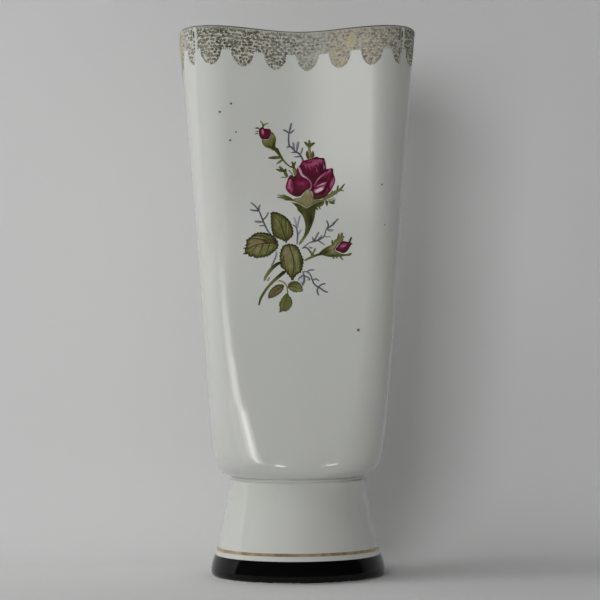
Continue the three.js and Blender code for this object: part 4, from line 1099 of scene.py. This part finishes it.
# Slate sprigs: name, CAD node, then strokes: points, widths, tones and hue.
SPRIGS = (
    (
        "sprig_over_bloom", "sprig_top",
        (
            ([(1.5, 23.5), (0.9, 25), (0.1, 26.4), (-0.8, 27.2), (-1.6, 27.5), (-2.3, 28.3), (-3, 29.1),
              (-3.9, 29.8), (-4.2, 31.4), (-4.2, 33.2), (-4.1, 34.6)],
             (0.6, 0.55, 0.5, 0.45), (0.2, 0.1, 0.06, 0.2), 0.1),
            ([(-4.1, 34.5), (-3.6, 36.4), (-3.1, 38.5)], (0.35, 0.7, 0.6), (0.15, 0.3, 0.42), 0),
            ([(-4.1, 34.5), (-5.2, 35.4), (-6.3, 35.9)], (0.4, 0.5, 0.5), (0.1, 0.22, 0.14), 0),
            ([(-4, 34.5), (-3, 35), (-2, 35.9)], (0.4, 0.5, 0.4), (0.1, 0.18, 0.5), 0),
            ([(-3.6, 29.5), (-4.9, 29.5)], (0.4, 0.35), (0.1, 0.34), 0.1),
            ([(-3.8, 29.4), (-5.2, 29)], (0.5, 0.7), (0.62, 0.78), 0.3),
            ([(-2.1, 28.1), (-2.3, 29.6), (-2.6, 31.2)], (0.4, 0.7, 0.6), (0.2, 0.46, 0.44), 0.1),
            ([(-1.2, 27.6), (-0.9, 29.4), (-0.5, 31.4)], (0.4, 0.9, 0.7), (0.16, 0.5, 0.52), 0.1),
            ([(-1.4, 27.3), (-3.2, 27.2)], (0.45, 0.4), (0.1, 0.26), 0.1),
            ([(0.4, 26.7), (0.8, 28), (1.2, 29.2)], (0.4, 0.7, 0.4), (0.46, 0.54, 0.62), 0),
            ([(0.5, 25.8), (-1, 25.6), (-2.3, 25.6)], (0.4, 0.5, 0.3), (0.16, 0.26, 0.5), 0),
        ),
    ),
    (
        "sprig_at_left", "sprig_left",
        (
            ([(-11, -4), (-12.3, -2.5), (-13.2, -0.8), (-14.1, 1.2), (-14.8, 3), (-15.6, 5)],
             (0.4, 0.5, 0.5, 0.45), (0.3, 0.1, 0.06, 0.12), 0.1),
            ([(-15.5, 4.8), (-17, 6.8), (-18.9, 8.4)], (0.45, 0.5, 0.4), (0.12, 0.2, 0.3), 0.1),
            ([(-15.6, 5), (-15.7, 6.2), (-15.2, 7.5)], (0.4, 0.5, 0.4), (0.12, 0.24, 0.36), 0),
            ([(-15.6, 5.1), (-17.4, 5.2), (-19.2, 5.6)], (0.5, 0.6, 0.4), (0.2, 0.3, 0.5), 0),
            ([(-14.2, 1.6), (-12.9, 2.8), (-12, 4.6)], (0.4, 0.5, 0.45), (0.14, 0.26, 0.36), 0.1),
            ([(-14.2, 0.8), (-15.8, 0.9), (-17.5, 1)], (0.4, 0.8, 0.5), (0.26, 0.44, 0.6), 0.1),
            ([(-13.4, -0.5), (-15.7, -0.6)], (0.4, 0.35), (0.2, 0.4), 0),
        ),
    ),
    (
        "sprig_at_middle", "sprig_centre",
        (
            ([(-1, -7.8), (-1, -6), (-0.9, -4), (-1.1, -2.4), (-1.3, -1.4)],
             (0.5, 0.5, 0.4), (0.36, 0.16, 0.12), 0.5),
            ([(-1.2, -1.5), (-1.9, -0.8), (-2.7, -0.3)], (0.4, 0.35), (0.16, 0.24), 0.1),
            ([(-1.1, -1.7), (-0.7, 0.2), (-0.3, 2), (0.1, 3.3)],
             (0.5, 0.5, 0.5, 0.35), (0.5, 0.56, 0.44, 0.3), 0.8),
            ([(-1.1, -1), (-1.8, 1), (-2.3, 2.7)], (0.4, 0.7, 0.6), (0.6, 0.74, 0.8), 0.7),
            ([(-0.9, -4.2), (0, -3), (0.5, -2)], (0.4, 0.6, 0.5), (0.24, 0.54, 0.7), 0.8),
        ),
    ),
    (
        "sprig_at_right", "sprig_right",
        (
            ([(0.8, -9.4), (1.9, -8.9), (3, -9.4), (3.6, -10.2), (4, -11.2)],
             (0.35, 0.45, 0.5, 0.4), (0.2, 0.12, 0.06, 0.16), 0.5),
            ([(0.9, -9.3), (2, -8.4), (3.5, -7.2)], (0.3, 0.35, 0.4), (0.3, 0.3, 0.26), 0.3),
            ([(3.4, -8.6), (4.3, -9.2), (4.9, -9)], (0.4, 0.5, 0.3), (0.44, 0.28, 0.4), 0.2),
            ([(3.5, -7.2), (5.2, -6.7), (6.6, -6.3), (8, -5.6), (9.2, -4.8), (9.7, -3.4), (10.2, -2),
              (11.2, -1.3), (12.6, -0.4), (13.6, 0.8), (14.8, 2)],
             (0.4, 0.6, 0.55, 0.4, 0.45, 0.5, 0.5), (0.34, 0.16, 0.2, 0.4, 0.2, 0.14, 0.4), 0),
            ([(5.3, -6.6), (6.2, -5), (7.3, -3)], (0.4, 0.5, 0.5), (0.16, 0.26, 0.34), 0),
            ([(5.2, -6.5), (4.7, -4.9)], (0.5, 0.6), (0.26, 0.6), 0),
            ([(7, -6.1), (8.5, -4.3)], (0.5, 0.5), (0.26, 0.5), 0),
            ([(7, -6.4), (8.2, -7.1), (9.6, -8.1)], (0.4, 0.45, 0.4), (0.26, 0.4, 0.6), 0),
            ([(10.4, -1.9), (10.9, -0.5), (10.2, 1.4)], (0.45, 0.5, 0.4), (0.1, 0.12, 0.26), 0),
            ([(10.5, -2.1), (11.8, -2.5), (13, -2.2)], (0.5, 0.8, 0.5), (0.36, 0.6, 0.76), 0),
            ([(9.4, -4.9), (12, -4.9)], (0.4, 0.4), (0.56, 0.7), 0),
            ([(12.4, -0.6), (12.8, 0.8)], (0.4, 0.35), (0.4, 0.66), 0),
        ),
    ),
    (
        "sprig_at_low_left", "sprig_low_left",
        (
            ([(-9, -10.4), (-9.2, -12.2), (-10, -14.2), (-11, -16.2)],
             (0.6, 0.5, 0.45, 0.5), (0.62, 0.26, 0.2, 0.2), 0.4),
            ([(-8.6, -10.6), (-8.9, -12)], (0.5, 0.4), (0.86, 0.8), 0.8),
            ([(-11.5, -20.2), (-12.5, -21.7)], (0.35, 0.5), (0.34, 0.24), 0.5),
        ),
    ),
    (
        "sprig_at_low_right", "sprig_low_right",
        (
            ([(-0.1, -20.6), (0.9, -20.3), (1.4, -21.6), (0.8, -22.9), (-0.2, -21.8)],
             (0.8, 1.2, 1.2, 0.9, 0.6), (0.8, 0.84, 0.86), 0.8),
            ([(1.1, -18.4), (1.6, -19.9), (1.5, -21.6), (0.8, -23.9)],
             (0.45, 0.5, 0.5, 0.4), (0.22, 0.12, 0.26, 0.34), 0.5),
            ([(1.5, -19.6), (0.3, -20), (-0.8, -21.6)], (0.45, 0.45, 0.4), (0.14, 0.26, 0.44), 0.5),
            ([(1.6, -19.8), (3, -20.4), (3.9, -21.2)], (0.4, 0.45, 0.4), (0.12, 0.14, 0.3), 0.3),
            ([(2.6, -21.4), (4, -21.4)], (0.35, 0.35), (0.4, 0.4), 0.1),
            ([(0.8, -18.3), (2.6, -18.3), (3.6, -18.9), (4.2, -20), (4.7, -21.4), (5.2, -22.6),
              (6.2, -23.7), (7, -24.1), (8.2, -24.9), (9.4, -25.7), (10.7, -26.2)],
             (0.35, 0.45, 0.45, 0.45, 0.5), (0.3, 0.18, 0.1, 0.06, 0.16), 0.15),
            ([(2.6, -18.2), (4, -17.6), (5.6, -17.6)], (0.4, 0.45, 0.35), (0.3, 0.3, 0.46), 0.1),
            ([(4.9, -21.5), (6, -21), (7.4, -21.8)], (0.4, 0.5, 0.35), (0.16, 0.26, 0.24), 0.1),
            ([(7, -24.1), (8.3, -23.2), (9.8, -22.8)], (0.4, 0.45, 0.5), (0.1, 0.2, 0.1), 0.1),
            ([(6.9, -24.2), (6.6, -25.8), (7.2, -27.4)], (0.5, 0.55, 0.4), (0.18, 0.2, 0.24), 0.1),
        ),
    ),
)


def draw_spray():
    rose_bloom()
    rose_calyx()
    moss_tufts()
    upper_bud_petals()
    upper_bud_stem()
    side_bud_petals()
    side_bud_stem()
    upper_leaf()
    left_leaf()
    lower_leaf()
    leaflets()
    lower_stems()
    for name, node, strokes in SPRIGS:
        art = Sheets()
        art.strokes(strokes, 0, scale=1.3, spacing=0.25)
        art.build(name, on_front, SLATE, "slate_enamel", node)


draw_spray()


# ---------------------------------------------------------------- gold lace

LACE_PITCH = 12.4                      # from lobe to lobe, in millimetres, as are the sizes below
LACE_SHIFT = 3.0                       # middle of the lobe nearest the front's middle
LACE_HEM = 9.1                         # depth of the hem between lobes
LACE_LOBE = 6.0                        # how much further a lobe hangs
LACE_END_GAP = 0.7
GROUND_TOP = 0.75                      # upper edge of the pale film under the curls
GROUND_MARGIN = 0.3                    # between that film and the hem
CURL_DEPTHS = np.arange(1.7, 16.8, 1.26)
CURL_STEP = 1.44
CURLS_EACH_WAY = 29
LOBES = [LACE_SHIFT + LACE_PITCH * n for n in range(-3, 4)]

# Directions round the outline from a side's middle to its corner, and the way walked to each.
SIDE_TURNS = np.linspace(0, QUARTER / 2, 400)
SIDE_LINE = around(SIDE_TURNS, vessel_radius(SIDE_TURNS, TOP - LACE_HEM * MM), 0)
SIDE_WALK = np.concatenate(([0], np.cumsum(np.linalg.norm(np.diff(SIDE_LINE, axis=0), axis=1)))) / MM
LACE_REACH = SIDE_WALK[-1] - LACE_END_GAP

# Wear along the band, from left to right: place, tone from dark olive to pale, and warmth.
LACE_WEAR = (
    (-44, 0.16, 0.1), (-36, 0.40, 0.0), (-30, 0.16, 0.0), (-24, 0.40, 0.0), (-19, 0.28, 0.4),
    (-12, 0.38, 0.1), (-4, 0.46, 0.0), (6, 0.70, 0.1), (13, 0.80, 0.6), (18, 0.76, 0.8),
    (24, 0.74, 0.8), (30, 0.72, 0.8), (35, 0.56, 0.3), (39, 0.52, 0.1), (43, 0.06, 0.1),
)
GOLD_SPOT = (19.0, -5.4, 2.4)          # middle and reach of the patch that still glitters


def lace_tone(x, y=0.0):
    """Tone and warmth of the worn gold at a place on the band."""
    places = [place for place, _, _ in LACE_WEAR]
    tone = float(np.interp(x, places, [tone for _, tone, _ in LACE_WEAR]))
    warmth = float(np.interp(x, places, [warm for _, _, warm in LACE_WEAR]))
    glitter = math.exp(-((x - GOLD_SPOT[0]) ** 2 + (y - GOLD_SPOT[1]) ** 2) / GOLD_SPOT[2] ** 2)
    patchy = 0.10 * math.sin(0.9 * x + 0.4 * y) * math.sin(0.8 * y - 0.3 * x)
    rubbed = 0.25 * math.exp(-(((x - 9) / 8) ** 2)) * min(max(-y / 4 - 1.5, 0), 1)
    return tone + 0.5 * glitter + patchy + rubbed, warmth


def hem_depth(along):
    """Depth of the lace's hem under the wavy rim, at a way along the band."""
    phase = np.abs(np.cos(math.pi * (along - LACE_SHIFT) / LACE_PITCH))
    return LACE_HEM + LACE_LOBE * np.sqrt(np.maximum(0, 2 * phase - 1))


def before_wave(angle, depth):
    """The depth under a level rim that the rim's wave moves to this depth under the wavy rim."""
    dip = RIM_DIP * (1 + np.cos(4 * angle)) / 2
    slope = 1 - 2 * dip / RIM_WAVE_DEPTH
    return 2 * depth / (slope + np.sqrt(slope**2 + 4 * dip * depth / RIM_WAVE_DEPTH**2))


def on_rim(side):
    """Lays flat points on the band of one side: x along it, y under the rim, which is negative."""

    def lay(x, y, lift):
        angle = np.sign(x) * np.interp(np.abs(x), SIDE_WALK, SIDE_TURNS) + side * QUARTER
        depth = before_wave(angle, np.maximum(-y, 0.05) * MM)
        turn = np.arcsin(np.clip(1 - depth / LIP_RADIUS, 0, 1))
        centre = TOP - LIP_RADIUS
        on_lip = half_width(centre) - LIP_RADIUS + (LIP_RADIUS + lift * MM) * np.cos(turn)
        lip_height = centre + (LIP_RADIUS + lift * MM) * np.sin(turn)
        below = depth > LIP_RADIUS
        radius = np.where(below, half_width(TOP - depth) + lift * MM, on_lip)
        return pressed(angle, radius, np.where(below, TOP - depth, lip_height))

    return lay


def lace_dot(art, x, y, radius, shift=0.0):
    """A flat bead."""
    tone, warmth = lace_tone(x, y)
    turns = np.arange(6) * ROUND / 6
    flat = np.array([(x, y)] + [(x + radius * math.cos(t), y + radius * math.sin(t)) for t in turns])
    triangles = [(0, 1 + i, 1 + (i + 1) % 6) for i in range(6)]
    art.add(flat, triangles, tone + shift, warmth, np.zeros((7, 3)), 2)


def lace_stroke(art, path, widths, shift=0.0):
    tone, warmth = lace_tone(*path[len(path) // 2])
    art.stroke(path, widths, tone + shift, warmth, layer=1, spacing=0.30)


def lace_curl(art, x, y, radius, start, hand, shift):
    """A spiral curl ending in a bead at its heart."""
    path = []
    for share in np.linspace(0, 1, 7):
        turn = start + hand * share * 1.1 * ROUND
        reach = radius * (1 - 0.72 * share)
        path.append((x + reach * math.cos(turn), y + reach * math.sin(turn)))
    lace_stroke(art, path, (0.24, 0.42, 0.40, 0.30), shift)
    lace_dot(art, path[-1][0], path[-1][1], 0.26, shift)


def inside_lace(x, depth, margin):
    return abs(x) < LACE_REACH - margin and depth < hem_depth(x) - margin


def lace_ground(art):
    """The pale film of rubbed gold that the lace stands on, down to the hem."""
    columns = np.arange(-LACE_REACH, LACE_REACH, 0.4)
    rows = 24
    flat, tones, hues = [], [], []
    for x in columns:
        for share in np.linspace(0, 1, rows):
            y = -(GROUND_TOP + (hem_depth(x) - GROUND_MARGIN - GROUND_TOP) * share)
            tone, warmth = lace_tone(x, y)
            flat.append((x, y))
            tones.append(min(0.92, 0.70 + 0.4 * tone + 0.2 * share ** 2))
            hues.append(0.25 * warmth)
    faces = []
    for column in range(len(columns) - 1):
        for row in range(rows - 1):
            corner = column * rows + row
            faces.append((corner, corner + 1, corner + 1 + rows, corner + rows))
    art.add(np.array(flat), faces, tones, hues, np.zeros((len(flat), 3)), 0)


def lace_filling(art):
    """Curls packed over the whole band and into its lobes, each turned its own way, with sprigs between."""
    chance = np.random.default_rng(11)
    for row, depth in enumerate(CURL_DEPTHS):
        for n in range(-CURLS_EACH_WAY, CURLS_EACH_WAY + 1):
            x = CURL_STEP * (n + 0.5 * (row % 2)) + chance.uniform(-0.35, 0.35)
            y = -depth + chance.uniform(-0.36, 0.36)
            hand = chance.choice((-1, 1))
            start, shift = chance.uniform(0, ROUND), chance.uniform(-0.16, 0.16)
            radius = chance.uniform(0.45, 0.74)
            if inside_lace(x, -y, 0.75):
                lace_curl(art, x, y, radius, start, hand, shift)
            between, turn = x + CURL_STEP / 2, chance.uniform(0, ROUND)
            if inside_lace(between, -y, 0.6) and chance.random() < 0.7:
                reach_x, reach_y = 0.5 * math.cos(turn), 0.5 * math.sin(turn)
                ends = [(between - reach_x, y - reach_y), (between + reach_x, y + reach_y)]
                lace_stroke(art, ends, (0.28, 0.44), shift - 0.05)


def lace_lobe(art, middle, beads=13):
    """A beaded arch near a lobe's hem."""
    for n in range(beads):
        turn = math.pi + math.pi * (n + 0.5) / beads
        x, y = middle + 3.2 * math.cos(turn), 3.8 - hem_depth(middle) + 2.8 * math.sin(turn)
        if inside_lace(x, -y, 0.4):
            lace_dot(art, x, y, 0.26, 0.06 * (n % 2) - 0.1)


def lace_hem(art):
    """Irregular beads along the hem."""
    chance = np.random.default_rng(5)
    along = np.arange(-LACE_REACH, LACE_REACH, 0.05)
    line = np.stack([along, -hem_depth(along)], axis=1)
    walk = np.concatenate(([0], np.cumsum(np.hypot(*np.diff(line, axis=0).T))))
    for place in np.arange(0.3, walk[-1] - 0.3, 0.75):
        x, y = (float(np.interp(place, walk, line[:, axis])) for axis in (0, 1))
        if chance.random() < 0.85:
            lace_dot(art, x, y + 0.35, chance.uniform(0.18, 0.30), chance.uniform(-0.1, 0.1))


def lace_top(art):
    """Worn beads under the lip."""
    chance = np.random.default_rng(7)
    for x in np.arange(-LACE_REACH + 0.3, LACE_REACH - 0.2, 0.72):
        if chance.random() < 0.8:
            lace_dot(art, float(x), -0.95, chance.uniform(0.20, 0.30), chance.uniform(-0.12, 0.05))


def lace_seam(art):
    """Dark dashes where the band's right end meets its neighbour's."""
    for high, low in ((2.2, 4.8), (5.6, 6.6), (7.1, 7.9), (8.4, 9.2), (9.7, 10.3)):
        x = LACE_REACH + 0.3
        art.stroke([(x, -high), (x, -low)], (0.6, 0.6), -0.1, layer=2)


def draw_lace():
    art = Sheets()
    lace_ground(art)
    lace_top(art)
    lace_filling(art)
    lace_hem(art)
    lace_seam(art)
    for middle in LOBES:
        lace_lobe(art, middle)
    for side, place in enumerate(("front", "right", "back", "left")):
        art.build("lace_" + place, on_rim(side), LACE_GOLD, "lace_gold", "lace_band_" + place)


draw_lace()


# ---------------------------------------------------------------- stage, lights and camera

BACKDROP = 0.10                        # from the vase's axis to the paper behind it, in metres
COVE = 0.05
LIGHT_DISTANCE = 1.3
CAMERA_DISTANCE = 0.970
CAMERA_HEIGHT = 0.1108
CAMERA_AZIMUTH = math.radians(-2.0)    # a little to the left of the front's middle line
CAMERA_LEAN = math.radians(0.3)


def paper_material():
    """Pale matt paper, seen only from the front, so the vase can be looked at from behind it."""
    nodes = Nodes("stage_paper")
    nodes.set(Base_Color=(0.88, 0.88, 0.88, 1), Roughness=0.9)
    backing = nodes.add("ShaderNodeNewGeometry").outputs["Backfacing"]
    clear = nodes.add("ShaderNodeBsdfTransparent").outputs["BSDF"]
    inputs = {0: backing, 1: nodes.shader.outputs["BSDF"], 2: clear}
    shown = nodes.add("ShaderNodeMixShader", inputs).outputs["Shader"]
    nodes.tree.links.new(shown, nodes.tree.nodes["Material Output"].inputs["Surface"])
    return nodes.material


def build_stage():
    """A pale floor that curves up into a backdrop behind the vase, and runs on behind it."""
    outline = [(-2.5, 0)]
    for turn in np.linspace(0, QUARTER, 25):
        outline.append((BACKDROP - COVE + COVE * math.sin(turn), COVE - COVE * math.cos(turn)))
    outline.append((BACKDROP, 1.6))
    points = [(side * 2.5, y, z) for side in (-1, 1) for y, z in outline]
    count = len(outline)
    faces = [(i, count + i, count + i + 1, i + 1) for i in range(count - 1)]
    faces.append((2 * count, 2 * count + 1, 2 * count + 2, 2 * count + 3))
    points += [(-2.5, BACKDROP - COVE, 0), (2.5, BACKDROP - COVE, 0), (2.5, 2.5, 0), (-2.5, 2.5, 0)]
    floor = new_object("stage_floor", points, faces)
    floor.data.materials.append(paper_material())


def area_light(name, place, target, size, power):
    """A rectangular light that the camera doesn't see."""
    data = bpy.data.lights.new(name, "AREA")
    data.shape = "RECTANGLE"
    data.size, data.size_y = size
    data.energy = power
    lamp = bpy.data.objects.new(name, data)
    lamp.location = place
    lamp.rotation_euler = (Vector(target) - Vector(place)).to_track_quat("-Z", "Y").to_euler()
    lamp.visible_camera = False
    bpy.context.scene.collection.objects.link(lamp)
    return lamp


def light_from(name, azimuth, elevation, size, power):
    """A soft, distant light that gives no mirror image. Azimuth runs from the front to the right."""
    turn, rise = math.radians(azimuth), math.radians(elevation)
    flat = LIGHT_DISTANCE * math.cos(rise)
    place = (flat * math.sin(turn), -flat * math.cos(turn), TOP / 2 + LIGHT_DISTANCE * math.sin(rise))
    area_light(name, place, (0, 0, TOP / 2), size, power).visible_glossy = False


def light_reflection(name, spot, distance, azimuths, heights, radiance):
    """A panel seen only as its mirror image in the vessel's glaze.

    It stands at a distance from a spot on the vessel, between two azimuths and two heights."""
    turns = [math.radians(azimuth) for azimuth in azimuths]
    ends = [Vector((spot[0] + distance * math.sin(t), spot[1] - distance * math.cos(t), 0)) for t in turns]
    middle = (ends[0] + ends[1]) / 2
    middle.z = sum(heights) / 2
    size = ((ends[1] - ends[0]).length, heights[1] - heights[0])
    power = radiance * math.pi * size[0] * size[1]
    lamp = area_light(name, middle, (spot[0], spot[1], middle.z), size, power)
    lamp.visible_diffuse = False
    lamp.light_linking.receiver_collection = GLAZED


def build_world():
    """A grey room behind the stage, which lights the vase hardly at all."""
    world = bpy.data.worlds.new("studio")
    world.use_nodes = True
    tree = world.node_tree
    path = tree.nodes.new("ShaderNodeLightPath")
    mix = tree.nodes.new("ShaderNodeMix")
    mix.data_type = "RGBA"
    mix.inputs[6].default_value = (0.006, 0.006, 0.006, 1)
    mix.inputs[7].default_value = (0.40, 0.41, 0.41, 1)
    tree.links.new(path.outputs["Is Camera Ray"], mix.inputs[0])
    tree.links.new(mix.outputs[2], tree.nodes["Background"].inputs["Color"])
    bpy.context.scene.world = world


def build_camera():
    """A level camera at about half the vase's height."""
    azimuth = CAMERA_AZIMUTH
    data = bpy.data.cameras.new("camera")
    data.sensor_width = 36.0
    data.lens = 145.9
    data.shift_x = 0.0057
    data.shift_y = -0.005
    data.clip_start = 0.05
    camera = bpy.data.objects.new("camera", data)
    away = (math.sin(azimuth) * CAMERA_DISTANCE, -math.cos(azimuth) * CAMERA_DISTANCE)
    camera.location = (*away, CAMERA_HEIGHT)
    camera.rotation_euler = (QUARTER, CAMERA_LEAN, azimuth)
    bpy.context.scene.collection.objects.link(camera)
    bpy.context.scene.camera = camera


GLAZED = bpy.data.collections.new("glazed_vessel")
GLAZED.objects.link(bpy.data.objects["porcelain_vessel"])
build_stage()
build_world()
build_camera()
light_from("front_light", -15, 12, (0.40, 0.52), 4.4)
light_from("side_window", -85, 20, (0.6, 0.6), 4.9)
light_from("ceiling", -45, 60, (0.6, 0.6), 2.2)
light_from("right_wall", 60, 20, (0.6, 0.6), 0.2)

# A window at the left, mirrored as a streak down the crease, wider and brighter toward the shoulder.
CREASE = (-0.030, -0.040)
FOOT_FRONT = (-0.020, -0.034)
for name, azimuths, top, radiance in (
    ("window_top", (-50, -26), 0.118, 0.6),
    ("window_upper", (-48, -23), 0.102, 0.7),
    ("window_middle", (-44, -20), 0.085, 0.8),
    ("window_lower", (-40, -17), 0.062, 1.4),
):
    light_reflection(name, CREASE, 0.12, azimuths, (0.030, top), radiance)
light_reflection("window_foot", FOOT_FRONT, 0.045, (-42, -8), (0.010, 0.056), 1.8)
light_reflection("window_foot_core", FOOT_FRONT, 0.045, (-31, -17), (0.010, 0.054), 3.4)
light_reflection("window_foot_spread", FOOT_FRONT, 0.045, (-70, -8), (0.006, 0.060), 0.6)
light_reflection("shoulder_glint_left", (-0.0053, -0.032), 0.045, (-16, -7), (0.009, 0.018), 7.0)
light_reflection("shoulder_glint_right", (0.0150, -0.032), 0.045, (8, 20), (0.009, 0.016), 5.0)

# A pale wall in front and to the right, mirrored as a soft glow over the upper right of the panel.
for n in range(6):
    azimuths, heights = (1 + n * 0.9, 40 / (1 + 0.6 * n) + 3), (0.080 + 0.006 * n, 0.235)
    light_reflection("wall_" + str(n), (0.0, -0.045), 0.54, azimuths, heights, 0.42)
bpy.context.scene.view_settings.view_transform = "Standard"
